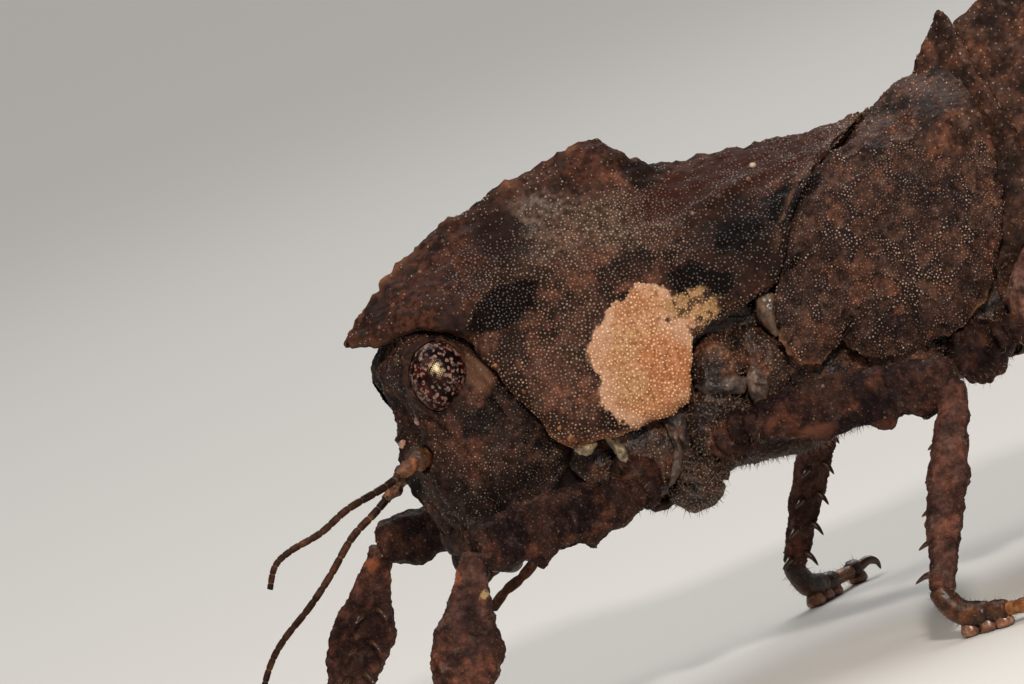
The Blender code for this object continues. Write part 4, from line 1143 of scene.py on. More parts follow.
beads = bmesh.new()
for x, y, z, radius in SIMPLE_EYES:
    bmesh.ops.create_uvsphere(
        beads, u_segments=24, v_segments=16, radius=radius, matrix=Matrix.Translation((x, y, z)))
simple_eyes = settle("simple_eyes", beads, glassy)
fix("eye", simple_eyes)


# The feelers: a stout first joint set in the face, a ring joint, and a thread of some
# twenty dark joints with paler skin showing between them.
FEELERS = {
    "left": ((-6.3, -1.3, 7.48), (-6.7, -1.5, 7.64), (-7.02, -1.62, 7.52), (-7.68, -1.85, 7.33),
             (-8.7, -2.1, 7.18), (-9.5, -2.2, 6.9), (-10.3, -2.2, 6.76), (-10.75, -2.2, 6.56),
             (-11.05, -2.2, 6.1)),
    "right": ((-6.3, 1.3, 7.2), (-6.62, 1.5, 7.12), (-6.95, 1.5, 6.9), (-7.5, 1.42, 6.6), (-8.25, 1.4, 6.23),
              (-9.02, 1.4, 5.6), (-9.74, 1.4, 5.08), (-10.53, 1.45, 4.6), (-11.0, 1.5, 4.2),
              (-11.4, 1.55, 3.65), (-11.75, 1.6, 2.9)),
}
FEELER_JOINTS = 21
THREAD_RADIUS = 0.105
THREAD_START = 0.12
FEELER_ROWS = 240
UP = Vector((0, 0, 1))
feeler_brown = bark_material(
    "feeler_brown", (0.018, 0.008, 0.005), (0.045, 0.018, 0.01), (0.08, 0.032, 0.016), (0.1, 0.06, 0.036),
    0.26, 0.006)
root_rust = bark_material(
    "root_rust", (0.04, 0.017, 0.009), (0.12, 0.046, 0.021), (0.28, 0.1, 0.034), (0.24, 0.12, 0.06), 0.24,
    0.01, 0.3)
joint_pale = bark_material(
    "joint_pale", (0.16, 0.09, 0.05), (0.32, 0.21, 0.13), (0.3, 0.16, 0.09), (0.5, 0.4, 0.3), 0.25, 0.004,
    MOIST)


def tube_spot(path, section, u, v, up_hint=UP):
    """A spot on a limb: section(u, turn) gives how far it stands up and out from the path."""
    centre = Vector(along(path, u))
    way = Vector(along(path, u + 0.004)) - Vector(along(path, u - 0.004))
    out = way.cross(up_hint).normalized()
    up = out.cross(way).normalized()
    high, wide = section(u, 2 * math.pi * v)
    return centre + up * high + out * wide


def round_end(u, share):
    """One along a limb, falling to nought over the last share of it at both ends."""
    near = min(u, 1 - u) / share
    return math.sqrt(max(0.0, 1 - (1 - near) ** 2)) if near < 1 else 1.0


def round_at(radius, turn):
    """A spot of a round section: how far it stands up and out."""
    return radius * math.cos(turn), radius * math.sin(turn)


def joint_dip(u):
    """Nought in the middle of each joint of the thread, one where two of them meet."""
    beat = (u - THREAD_START) / (1 - THREAD_START) * FEELER_JOINTS
    return bell(beat - round(beat), 0.07)


def dark_thread(u, turn):
    """The thread's joints, each a little waisted; it starts thin inside the ring joint."""
    radius = THREAD_RADIUS * (1 - 0.32 * u) * (1 - 0.24 * joint_dip(u)) if u > THREAD_START else 0.07
    radius *= round_end(u, 0.006)
    return round_at(radius, turn)


def pale_core(u, turn):
    """The soft skin that shows between the joints."""
    radius = THREAD_RADIUS * (1 - 0.32 * u) * 0.8 * round_end(u, 0.01)
    return round_at(radius, turn)


def root_joints(u, turn):
    """The stout first joint and the ring joint after it."""
    radius = 0.1 + 0.17 * bell(u - 0.28, 0.2) + 0.09 * bell(u - 0.62, 0.1)
    radius *= round_end(u, 0.05)
    return round_at(radius, turn)


for side_name, path in FEELERS.items():
    thread = skin(FEELER_ROWS, 12, lambda u, v: tube_spot(path, dark_thread, u, v))
    core = skin(60, 10, lambda u, v: tube_spot(path, pale_core, u * 0.97 + 0.015, v))
    root = skin(36, 26, lambda u, v: tube_spot(path[:4], root_joints, u * 0.8, v))
    roughen(root, [(0.04, 0.2), (0.025, 0.08)])
    thread_piece = settle("feeler_thread_" + side_name, thread, feeler_brown)
    core_piece = settle("feeler_core_" + side_name, core, joint_pale)
    root_piece = settle("feeler_root_" + side_name, root, root_rust)
    fix("feeler", thread_piece, core_piece, root_piece)
    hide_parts("antenna_" + side_name)


# The mouth: a face plate and an upper lip in front, two hard dark jaws behind them, and a
# pair of five-jointed palps that reach forward from under the cheeks.
FORWARD = Vector((-1, 0, 0))
# Place, reach fore and aft, reach sideways
CLYPEUS = ((-6.1, 0, 5.75, 0.16, 1.25), (-6.2, 0, 5.55, 0.24, 1.25), (-6.22, 0, 5.35, 0.26, 1.15),
           (-6.15, 0, 5.15, 0.2, 1.05))
LIP = ((-6.05, 0, 5.2, 0.2, 1.0), (-6.12, 0, 4.95, 0.27, 1.18), (-6.06, 0, 4.65, 0.26, 1.15),
       (-5.92, 0, 4.35, 0.17, 0.75))
JAW = ((-5.35, 0.85, 5.5, 0.4, 0.5), (-5.35, 0.85, 5.15, 0.42, 0.52), (-5.32, 0.75, 4.8, 0.38, 0.45),
       (-5.3, 0.55, 4.4, 0.2, 0.22))
PALP = ((-4.6, 1.2, 5.3), (-4.68, 1.4, 4.9), (-4.95, 1.65, 4.5), (-5.4, 1.75, 4.25), (-5.85, 1.7, 4.08),
        (-6.25, 1.5, 3.78))
PALP_JOINTS = 5
jaw_black = bark_material(
    "jaw_black", (0.012, 0.007, 0.006), (0.035, 0.016, 0.01), (0.09, 0.03, 0.014), (0.06, 0.04, 0.03), 0.18,
    0.01, MOIST)


def oval_tube(path, u_count, v_count, up_hint, side=1, end=0.12):
    """A tube of oval section along path points (x, y, z, fore-and-aft reach, side reach)."""
    centres = [(spot[0], side * spot[1], spot[2]) for spot in path]
    reaches = [spot[3:] for spot in path]

    def section(u, turn):
        fore, beside = along(reaches, u)
        close = round_end(u, end)
        return fore * close * math.cos(turn), beside * close * math.sin(turn)

    return skin(u_count, v_count, lambda u, v: tube_spot(centres, section, u, v, up_hint))


def palp_section(u, turn):
    """The five joints of a palp."""
    beat = u * PALP_JOINTS
    waist = bell(beat - round(beat), 0.16) if 0.1 < u < 0.95 else 0.0
    radius = (0.14 - 0.02 * u) * (1 - 0.22 * waist) * round_end(u, 0.04)
    return round_at(radius, turn)


clypeus = oval_tube(CLYPEUS, 30, 60, FORWARD)
roughen(clypeus, [(0.03, 0.3), (0.012, 0.08)])
clypeus_piece = settle("clypeus", clypeus, head_brown)
lip = oval_tube(LIP, 36, 60, FORWARD)
roughen(lip, [(0.03, 0.3), (0.012, 0.08)], lambda spot: -0.06 * bell(spot.y, 0.08))
lip_piece = settle("upper_lip", lip, head_brown)
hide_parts("labrum")
fix("cuticle", clypeus_piece, lip_piece)
for side, side_name in SIDES:
    jaw = oval_tube(JAW, 36, 40, FORWARD, side)
    roughen(jaw, [(0.03, 0.3)], lambda spot: 0.03 * math.sin(spot.z * 16))
    jaw_piece = settle("jaw_" + side_name, jaw, jaw_black)
    fix("cuticle", jaw_piece)
    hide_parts("mandible_" + side_name)
    palp_path = [(x, side * y, z) for x, y, z in PALP]
    palp = skin(90, 16, lambda u, v: tube_spot(palp_path, palp_section, u, v))
    palp_piece = settle("jointed_palp_" + side_name, palp, feeler_brown)
    fix("feeler", palp_piece)
    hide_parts("palp_" + side_name)


# The wing lobes: short leathery fore wings that cover the sides like flakes of bark, with
# raised veins fanning out from the root, a net of finer veins, and a narrow front lobe
# behind a fold. The thin torn-looking edge is scalloped.
WING_HUB = (5.1, 8.7)
WING_EDGE = (
    (4.3, 10.75), (3.6, 10.35), (3.05, 9.85), (2.65, 9.3), (2.36, 8.7), (2.1, 8.1), (1.95, 7.6), (1.95, 7.15),
    (2.18, 6.8), (2.52, 6.63), (2.9, 6.7), (3.15, 6.98), (3.3, 6.72), (3.55, 6.4), (4.1, 6.18), (4.8, 6.08),
    (5.5, 6.05), (6.15, 6.2), (6.7, 6.55), (7.2, 7.1), (7.62, 7.8), (7.95, 8.6), (8.15, 9.4), (8.2, 10.2),
    (7.9, 10.8), (7.2, 11.05), (6.3, 11.1), (5.3, 11.0),
)
WING_VEINS = (
    ((4.3, 10.1), (3.75, 9.4), (3.35, 8.6), (3.15, 7.8), (3.1, 7.1)),
    ((4.3, 10.1), (4.05, 8.9), (3.95, 7.7), (4.0, 6.2)),
    ((4.3, 10.1), (4.75, 8.7), (5.0, 7.4), (5.1, 6.1)),
    ((4.75, 8.7), (5.6, 7.5), (6.1, 6.25)),
    ((4.3, 10.1), (5.5, 9.0), (6.5, 7.8), (7.05, 6.95)),
    ((4.3, 10.1), (5.9, 9.6), (7.1, 8.8), (7.8, 8.2)),
    ((5.9, 9.6), (7.2, 9.7), (8.1, 9.5)),
    ((4.3, 10.1), (5.9, 10.4), (7.3, 10.6), (8.0, 10.7)),
)
WING_INNER = 3.3
WING_BULGE = 0.42
WING_LEAN = 0.4
HIND_LEAN = 0.42
WING_WALL = 0.1
WING_RINGS = 68
WING_SPOKES = 240
WING_BEADS = (0.064, 0.02, 0.019)
WING_TEAR = 0.03
NET_SIZE = 0.62

# Painted shade: black in the notch of the front edge and under the shield's hind margin, where shadow falls
WING_SHADE_OVALS = ((2.75, 8.93, 0.32, 0.1, 24), (3.65, 10.35, 0.6, 0.17, 22))
WING_AMBER = ((2.5, 7.0, 0.95, 0.6, 0), (6.75, 6.3, 0.45, 0.5, 30), (5.95, 5.75, 0.5, 0.5, 0))
# Painted shade: the top of the lobe darkened to a warm brown against the grey sheen the lights lay there
WING_TOP_SHADE_OVALS = ((7.1, 11.4, 1.4, 0.5, -5),)
LOBE_STEP = 0.1

wing_brown, tree, shader, where = start_material("wing_brown")
patches = mottled(
    tree, where, (0.024, 0.012, 0.01), (0.064, 0.032, 0.023), (0.1, 0.041, 0.025), (0.085, 0.054, 0.042))
veined = add(tree, "ShaderNodeAttribute", attribute_name="grow").outputs["Fac"]
veined = sums(tree, "MULTIPLY", between(tree, veined, 0.92, 1.2), 0.8)
colour = blend_colour(tree, veined, patches["Color"], (0.014, 0.009, 0.01, 1))
torn = ragged(tree, where, 0.3, 0.3)
# Painted shade on the top of the lobe
warm = sums(tree, "MULTIPLY", oval_mask(tree, torn, WING_TOP_SHADE_OVALS, 0.5), 0.7)
colour = blend_colour(tree, warm, colour, (0.055, 0.02, 0.011, 1))
# Painted shadow in the notch and under the shield's hind margin
colour = blend_colour(tree, oval_mask(tree, torn, WING_SHADE_OVALS, 0.25), colour, (0.004, 0.002, 0.002, 1))
worn = add(tree, "ShaderNodeAttribute", attribute_name="edge").outputs["Fac"]
worn = sums(tree, "MULTIPLY", worn, oval_mask(tree, torn, WING_AMBER, 0.25))
colour = blend_colour(tree, worn, colour, (0.22, 0.1, 0.05, 1))
tree.links.new(colour, shader.inputs["Base Color"])
finish_sheen(tree, shader, where, 0.35, 0.45)
shader.inputs["Specular IOR Level"].default_value = DULL
finish_relief(tree, shader, patches["Height"], 0.03)

wing_grain, tree, shader, where = start_material("wing_grain")
patches = mottled(
    tree, where, (0.1, 0.056, 0.036), (0.22, 0.125, 0.078), (0.32, 0.15, 0.08), (0.32, 0.23, 0.165))
large = between(tree, add(tree, "ShaderNodeAttribute", attribute_name="grow").outputs["Fac"], 0.95, 1.3)
colour = blend_colour(tree, sums(tree, "MULTIPLY", large, 0.6), patches["Color"], (0.55, 0.4, 0.27, 1))
tree.links.new(colour, shader.inputs["Base Color"])
finish_sheen(tree, shader, where, 0.25, 0.06)
shader.inputs["IOR"].default_value = BEAD_INDEX


def around(points, share):
    """A spot on a smooth closed line through points, read at a share of the way round."""
    count = len(points)
    place = share % 1.0 * count
    i = int(place)
    return along([points[(i + k - 1) % count] for k in range(4)], (1 + place - i) / 3)


def lobe_spot(edge, hub, rise, u, v):
    """A spot on a flat lobe: u from its hub to its edge, v round it; rise(u) lifts it."""
    edge_x, edge_z = around(edge, v)
    return hub[0] + (edge_x - hub[0]) * u, rise(u), hub[1] + (edge_z - hub[1]) * u


def net(spot, size):
    """How near a spot is to the walls of a net of cells of that size, nought to one."""
    near = noise.voronoi(Vector((spot.x, 7.0, spot.z)) / size)[0]
    return bell((near[1] - near[0]) * size, 0.07)


def wing_shape(spot):
    """Veins, a net between them, the front lobe standing a step higher, and a slot in its edge."""
    lift = 0.085 * net(spot, NET_SIZE) + 0.025 * net(spot, NET_SIZE * 0.4)
    for vein in WING_VEINS:
        lift += 0.055 * bell(off_line(spot.x, spot.z, vein), 0.075)
    fold = off_line(spot.x, spot.z, WING_VEINS[0])
    if spot.x < 3.6 and fold > 0.1:
        lift -= 0.1 * bell(fold - 0.3, 0.25)
    front = held((3.22 - spot.x) / 0.12) * held((8.6 - spot.z) / 0.8)
    return lift + LOBE_STEP * front - 0.12 * bell(math.hypot((spot.x - 2.75) * 0.5, spot.z - 8.93), 0.11)


def wing_veined(spot):
    """One on a vein or on a wall of the net, nought in the middle of a cell."""
    vein = bell(min(off_line(spot.x, spot.z, vein) for vein in WING_VEINS), 0.1)
    broken = 0.75 + 0.8 * noise.noise(spot * 1.7)
    return max(0.9 * net(spot, NET_SIZE), 0.6 * vein) * min(max(broken, 0.45), 1.0)


for side, side_name in SIDES:
    def wing_spot(u, v):
        """A spot on the lobe, which bulges, leans in over the back, and is torn along its edge."""
        share = u ** 0.8
        edge_x = around(WING_EDGE, v)[0]
        tear = WING_TEAR + WING_TEAR * held((edge_x - WING_HUB[0]) / 2)
        round_edge = Vector((math.cos(6.283 * v) * 5, math.sin(6.283 * v) * 5, side))
        scallop = tear * share ** 6 * noise.fractal(round_edge, 0.7, 2.0, 3)
        x, out, z = lobe_spot(WING_EDGE, WING_HUB, lambda r: WING_BULGE * (1 - r ** 4), share + scallop, v)
        hind = held((x - 5.0) / 2.0)
        lean = (1 - hind) * WING_LEAN * max(0.0, z - 9.4) ** 1.5
        lean += hind * HIND_LEAN * max(0.0, z - 8.4) ** 1.15
        return Vector((x, side * (WING_INNER + out - lean), z))

    wing = skin(WING_RINGS, WING_SPOKES, wing_spot)
    face_towards(wing, Vector((0, side, 0)))
    mark_edge(wing, 0.06)
    roughen(wing, [(0.07, 1.2), (0.03, 0.35), (0.012, 0.1)], wing_shape)
    keep_note(wing, "room", lambda spot: 0.8 + 0.2 * wing_veined(spot))
    keep_note(wing, "grow", lambda spot: 0.85 + 0.45 * wing_veined(spot))
    bed = settle("wing_bed_" + side_name, wing.copy(), wing_brown)
    grains = sow("wing_grains_" + side_name, [bed], WING_BEADS, wing_grain, seed=21 + side)
    lift([bed])
    fix("wing", grains)
    harden(wing, WING_WALL)
    wing_piece = settle("wing_lobe_" + side_name, wing, wing_brown)
    fix("wing", wing_piece)
    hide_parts("tegmen_" + side_name)


# The side plates of the thorax: lumpy hard plates between soft grey folds above the hips, a
# pale half-clear knob at the wing hinge, and short hairs over them and over the breast.

# Edge, how far out it lies, its bulge, the depth of its pleats, and whether it is soft skin
PLATES = {
    "fore_side_plate": (((-3.5, 6.7), (-2.9, 6.75), (-1.9, 6.55), (-1.45, 6.2), (-1.7, 5.5), (-2.6, 5.3),
                         (-3.3, 5.9)), 1.85, 0.22, 0.0, False),
    "fore_hip_plate": (((-2.45, 6.5), (-1.8, 6.7), (-1.05, 6.5), (-1.0, 5.8), (-1.35, 5.3), (-1.9, 5.1),
                        (-2.4, 5.6)), 2.5, 0.16, 0.0, False),
    "fore_hip_rim": (((-1.2, 6.7), (-0.92, 6.45), (-0.95, 5.8), (-1.25, 5.25), (-1.55, 5.05), (-1.5, 5.25),
                      (-1.15, 5.8), (-1.1, 6.4)), 2.52, 0.24, 0.0, True),
    "corner_strap": (((-2.62, 6.75), (-2.4, 6.6), (-2.2, 6.2), (-2.28, 5.85), (-2.38, 5.85), (-2.5, 6.2)),
                     2.58, 0.12, 0.0, True),
    "corner_fold": (((-3.4, 6.62), (-3.2, 6.8), (-2.85, 6.65), (-2.95, 6.48), (-3.2, 6.42)), 2.68, 0.14,
                    0.0, True),
    "mid_side_plate": (((-0.25, 7.0), (-0.05, 7.7), (0.45, 8.05), (0.95, 7.85), (1.05, 7.2), (0.75, 6.75),
                        (0.1, 6.6)), 2.65, 0.38, 0.0, False),
    "mid_hip_plate": (((-0.62, 6.65), (-0.1, 6.9), (0.5, 6.7), (0.75, 6.2), (0.5, 5.5), (-0.2, 5.3),
                       (-0.75, 5.7)), 2.75, 0.4, 0.04, False),
    "mid_hind_plate": (((0.95, 7.5), (1.25, 7.95), (1.7, 7.7), (2.1, 7.1), (1.9, 6.4), (1.3, 6.15),
                        (1.0, 6.7)), 2.75, 0.32, 0.0, False),
    "wing_hinge_plate": (((1.9, 7.1), (2.6, 7.0), (3.4, 6.6), (3.9, 6.0), (3.5, 5.3), (2.6, 5.2),
                          (2.0, 6.0)), 2.7, 0.25, 0.0, False),
    "under_wing_plate": (((-0.35, 8.1), (0.1, 8.75), (1.1, 9.2), (2.4, 9.4), (3.0, 8.6), (2.2, 7.6),
                          (1.0, 7.6), (0.0, 7.5)), 2.3, 0.3, 0.0, False),
    "hind_side_plate": (((3.8, 6.5), (4.8, 6.6), (5.5, 6.1), (5.5, 5.3), (4.7, 4.95), (3.9, 5.2)),
                        2.8, 0.25, 0.0, False),
    "hind_back_plate": (((5.6, 6.7), (6.6, 7.2), (7.5, 7.6), (7.6, 6.2), (7.2, 5.2), (6.2, 5.1),
                         (5.5, 5.7)), 2.75, 0.22, 0.0, False),
    "breast_pleats": (((-1.3, 6.35), (-0.75, 6.7), (-0.35, 6.3), (0.1, 5.3), (-0.1, 4.75), (-1.0, 4.7),
                       (-1.35, 5.4)), 2.25, 0.3, 0.07, False),
    "breast_lump": (((-1.5, 4.9), (-1.0, 5.15), (-0.5, 4.95), (-0.2, 4.5), (-0.6, 4.22), (-1.2, 4.25)),
                    1.9, 0.5, 0.0, False),
    "fore_fold": (((-1.15, 6.75), (-0.75, 7.0), (-0.5, 6.8), (-0.6, 6.2), (-0.85, 5.7), (-1.1, 6.0)),
                  2.5, 0.2, 0.02, True),
    "mid_fold": (((-0.3, 7.05), (0.1, 7.1), (0.75, 6.95), (0.9, 6.65), (0.6, 6.55), (0.0, 6.7)),
                 2.95, 0.2, 0.02, True),
    "hind_fold": (((0.95, 6.9), (1.25, 7.0), (1.35, 6.5), (1.1, 6.1), (0.85, 6.3)), 3.0, 0.16, 0.02, True),
}
HINGE_KNOB = ((1.62, 7.95), (1.72, 8.4), (2.02, 8.55), (2.25, 8.2), (2.2, 7.7), (1.9, 7.45))
SIDE_PLATE_WALL = 0.14
PLEATING = 22
SIDE_BEADS = (0.085, 0.025, 0.022)
SIDE_HAIRS = (0.15, 0.008, 0.15)
BREAST_HAIRS = (0.08, 0.009, 0.2)
BELLY_BEADS = (0.15, 0.04, 0.03)
BELLY_HAIRS = (0.12, 0.009, 0.19)
pleura_brown = bark_material(
    "pleura_brown", (0.012, 0.006, 0.005), (0.045, 0.021, 0.014), (0.13, 0.046, 0.022), (0.08, 0.052, 0.04),
    0.26, 0.03, 0.25)
fold_grey = bark_material(
    "fold_grey", (0.03, 0.02, 0.017), (0.08, 0.055, 0.046), (0.12, 0.06, 0.04), (0.16, 0.12, 0.105), 0.2,
    0.02, 0.35)
cream_skin = bark_material(
    "cream_skin", (0.12, 0.08, 0.045), (0.26, 0.19, 0.11), (0.34, 0.2, 0.09), (0.42, 0.36, 0.26), 0.2,
    0.012, MOIST)
knob_pale = bark_material(
    "knob_pale", (0.07, 0.04, 0.026), (0.14, 0.085, 0.055), (0.16, 0.075, 0.04), (0.26, 0.19, 0.14), 0.12,
    0.006, MOIST)


def middle_of(edge):
    """The hub of a plate, amid the corners of its edge."""
    return sum(spot[0] for spot in edge) / len(edge), sum(spot[1] for spot in edge) / len(edge)


for side, side_name in SIDES:
    plate_beds = []
    pleats = []
    for plate_name, (edge, base, bulge, pleat, soft) in PLATES.items():
        hub = middle_of(edge)

        def plate_spot(u, v):
            """A spot on the plate, which bulges outwards from its edge."""
            x, out, z = lobe_spot(edge, hub, lambda r: bulge * (1 - r ** 3), u, v)
            return Vector((x, side * (base + out), z))

        plate = skin(19, 46, plate_spot)
        face_towards(plate, Vector((0, side, 0)))
        roughen(
            plate, [(0.07, 0.5), (0.035, 0.15)],
            lambda spot: pleat * math.sin((spot.x * 0.57 + spot.z * 0.82) * PLEATING))
        if not soft:
            plate_beds.append(plate.copy())
            pleats.append(pleat or plate_name == "breast_lump")
        harden(plate, SIDE_PLATE_WALL)
        paint = pleura_brown
        if soft:
            paint = cream_skin if plate_name.startswith("corner") else fold_grey
        plate_piece = settle(plate_name + "_" + side_name, plate, paint)
        fix("cuticle", plate_piece)
    hub = middle_of(HINGE_KNOB)

    def knob_spot(u, v):
        """A spot on the domed knob."""
        x, out, z = lobe_spot(HINGE_KNOB, hub, lambda r: 0.28 * math.sqrt(max(0.0, 1 - r * r)), u, v)
        return Vector((x, side * (3.02 + out), z))

    knob = skin(20, 44, knob_spot)
    close_ends(knob)
    roughen(knob, [(0.03, 0.2)])
    knob_piece = settle("wing_hinge_knob_" + side_name, knob, knob_pale)
    fix("cuticle", knob_piece)
    hosts = [settle("plate_bed", bed, pleura_brown) for bed in plate_beds]
    side_grains = sow("side_plate_grains_" + side_name, hosts, SIDE_BEADS, grain_gold, seed=31 + side)
    hairy = [host for host, pleated in zip(hosts, pleats) if pleated]
    side_hairs = sow("side_plate_hairs_" + side_name, hosts, SIDE_HAIRS, joint_pale, seed=35 + side, lean=0.6)
    breast_hairs = sow("breast_hairs_" + side_name, hairy, BREAST_HAIRS, joint_pale, seed=38 + side, lean=0.7)
    lift(hosts)
    fix("cuticle", side_grains, side_hairs, breast_hairs)

keep_note(belly_bed, "room", lambda spot: held((6.0 - spot.z) / 0.5))
belly_host = settle("belly_bed", belly_bed, pleura_brown)
belly_grains = sow("belly_grains", [belly_host], BELLY_BEADS, leg_grain, seed=81)
belly_hairs = sow("belly_hairs", [belly_host], BELLY_HAIRS, joint_pale, seed=83, lean=0.7)
lift([belly_host])
fix("cuticle", belly_grains, belly_hairs)


# The legs: hips like swollen rings, then a ring joint, a keeled thigh whose lower edge is
# lobed like flaking bark, and a shin with two rows of black-tipped spines. The hind thighs
# are deep, with a herringbone on the outer face, and their shins fold back under them.

# Places of the joints of a left leg with y outwards, the way that its foot points, and how
# much further on the right one stands
LEGS = {
    "fore": {"hip": (-2.15, 2.25, 5.6), "ring": (-2.1, 2.75, 5.15), "knee": (-6.85, 4.95, 5.6),
             "ankle": (-9.0, 6.1, 1.15), "toe": (-1.9, 0.75), "shift": (-0.5, 0.1)},
    "mid": {"hip": (0.15, 2.85, 5.7), "ring": (0.25, 3.2, 5.85), "knee": (4.75, 6.35, 5.45),
            "ankle": (2.35, 7.95, 1.15), "toe": (1.05, 1.0), "shift": (0.5, 0.15)},
    "hind": {"hip": (6.2, 2.95, 5.45), "ring": (6.75, 3.35, 5.6), "knee": (22.0, 6.5, 9.0),
             "ankle": (11.6, 8.0, 1.15), "toe": (2.2, 0.35), "shift": (-0.6, 0.1)},
}
THIGH_START = 0.5
KNEE_DROP = 0.1
# Share of the length, then the reach up, down and sideways
SHORT_THIGH = (
    (0.0, 0.34, 0.36, 0.32), (0.1, 0.5, 0.54, 0.4), (0.28, 0.64, 0.68, 0.42), (0.42, 0.67, 0.64, 0.42),
    (0.55, 0.68, 0.7, 0.42), (0.7, 0.62, 0.6, 0.4), (0.82, 0.57, 0.7, 0.38), (0.93, 0.5, 0.6, 0.4),
    (1.0, 0.44, 0.52, 0.36),
)
SHINS = {
    "fore": ((0.0, 0.26, 0.26, 0.24), (0.12, 0.36, 0.34, 0.28), (0.26, 0.55, 0.55, 0.28),
             (0.42, 0.82, 0.78, 0.28),
             (0.58, 0.76, 0.68, 0.28), (0.76, 0.5, 0.5, 0.26), (1.0, 0.3, 0.32, 0.25)),
    "mid": ((0.0, 0.26, 0.26, 0.24), (0.14, 0.36, 0.34, 0.27), (0.3, 0.42, 0.4, 0.3), (0.5, 0.49, 0.44, 0.3),
            (0.7, 0.44, 0.38, 0.28), (0.86, 0.33, 0.31, 0.26), (1.0, 0.26, 0.26, 0.25)),
}
HIND_THIGH = (
    (0.0, 0.6, 0.6, 0.42), (0.05, 1.15, 1.0, 0.55), (0.14, 1.75, 1.55, 0.75), (0.25, 2.1, 1.95, 0.85),
    (0.36, 2.0, 1.8, 0.84), (0.47, 1.9, 1.75, 0.78), (0.58, 1.5, 1.3, 0.68), (0.69, 1.25, 1.15, 0.6),
    (0.8, 0.85, 0.8, 0.5), (0.9, 0.68, 0.62, 0.45), (0.96, 0.82, 0.75, 0.5), (1.0, 0.55, 0.5, 0.4),
)
HIND_SHIN = (
    (0.0, 0.42, 0.42, 0.33), (0.17, 0.48, 0.43, 0.34), (0.33, 0.38, 0.34, 0.3), (0.5, 0.34, 0.31, 0.28),
    (0.67, 0.34, 0.31, 0.28), (0.83, 0.37, 0.34, 0.3), (1.0, 0.42, 0.38, 0.34),
)
KEELED = (
    (1.0, 0.0), (0.93, 0.2), (0.72, 0.68), (0.2, 1.0), (-0.3, 1.0), (-0.78, 0.68), (-0.94, 0.2),
    (-1.0, 0.0), (-0.94, -0.2), (-0.78, -0.68), (-0.3, -1.0), (0.2, -1.0), (0.72, -0.68), (0.93, -0.2),
)
CHEVRONS = 17
SPINE_ROOT = 0.1
HIP_HAIRS = (0.13, 0.007, 0.17)
SHORT_LEG_BEADS = (0.115, 0.022, 0.02)
HIND_LEG_BEADS = (0.2, 0.022, 0.02)
LEG_WARTS = (0.75, 0.05, 0.042)
THIGH_MARKS = ((3.1, 4.75, 0.42, 0.3, 0), (1.65, 5.15, 0.4, 0.25, 0))
SHIN_MARKS = ((-7.46, 5.15, 0.16, 0.2, 0),)
STRAW_MARKS = ((-7.01, 4.56, 0.12, 0.12, 0),)
LOBE_SHARES = ((0.31, 0.12), (0.62, 0.24), (0.8, 0.1))

leg_brown = bark_material(
    "leg_brown", (0.012, 0.006, 0.006), (0.035, 0.016, 0.012), (0.075, 0.028, 0.017), (0.06, 0.037, 0.03),
    0.4)
shin_brown = bark_material(
    "shin_brown", (0.026, 0.012, 0.01), (0.065, 0.029, 0.022), (0.115, 0.042, 0.026), (0.095, 0.058, 0.047),
    0.38)
spine_black, tree, shader, where = start_material("spine_black")
colour = blend_colour(tree, grain(tree, where, 0.2, 2.0), (0.012, 0.006, 0.004, 1), (0.09, 0.04, 0.02, 1))
tree.links.new(colour, shader.inputs["Base Color"])
shader.inputs["Roughness"].default_value = 0.2
wart_pale = bark_material(
    "wart_pale", (0.2, 0.12, 0.08), (0.4, 0.29, 0.21), (0.34, 0.16, 0.08), (0.55, 0.46, 0.38), 0.3, 0.006,
    MOIST)
hind_brown = bark_material(
    "hind_brown", (0.036, 0.018, 0.016), (0.12, 0.06, 0.045), (0.2, 0.086, 0.056), (0.19, 0.118, 0.095), 0.4)
lay_mark(leg_brown, THIGH_MARKS, (0.15, 0.055, 0.03, 1), 0.55)
lay_mark(shin_brown, SHIN_MARKS, (0.28, 0.085, 0.04, 1), 0.75)
lay_mark(shin_brown, STRAW_MARKS, (0.4, 0.27, 0.12, 1), 0.8)


def joint_place(leg, place, side):
    """A joint of a leg; the right foot stands a little further on than the left."""
    x, y, z = LEGS[leg][place]
    shift_x, shift_y = LEGS[leg]["shift"]
    if side > 0 and place == "ankle":
        x += shift_x
        y += shift_y
    if side > 0 and place == "knee" and leg != "hind":
        x += shift_x / 2
    return Vector((x, side * y, z))


def straight(start, end, shares=(0, 0.25, 0.5, 0.75, 1)):
    """Places along a straight line."""
    return [tuple(start.lerp(end, share)) for share in shares]


def keeled_limb(path, stations, rows, columns, up_hint, wave, extra=None, end=0.03):
    """A limb with an edge above and below, whose edges wave, and whose sides may be ribbed."""
    above, below, beside = ([(station[0], station[k]) for station in stations] for k in (1, 2, 3))
    seed = sum(path[0])

    def section(u, turn):
        high, wide = around(KEELED, turn / (2 * math.pi))
        close = round_end(u, end)
        wavy = wave * abs(high) ** 3 * (2.0 if high < 0 else 0.7)
        ripple = 1 + wavy * noise.fractal(Vector((u * 9, high * 1.5, seed)), 0.8, 2.0, 3)
        reach = curve(above, u) if high > 0 else curve(below, u)
        rib = extra(u, high) if extra else 0.0
        drop = lobed(u, high) if stations is SHORT_THIGH else 0.0
        return (reach * ripple * high - drop) * close, curve(beside, u) * wide * close * (1 + rib)

    return skin(rows, columns, lambda u, v: tube_spot(path, section, u, v, up_hint))


def fluted(u, high):
    """Two edges along the broad face with a shallow hollow between them."""
    return 0.2 * bell(abs(high) - 0.74, 0.12) - 0.12 * bell(high, 0.4)


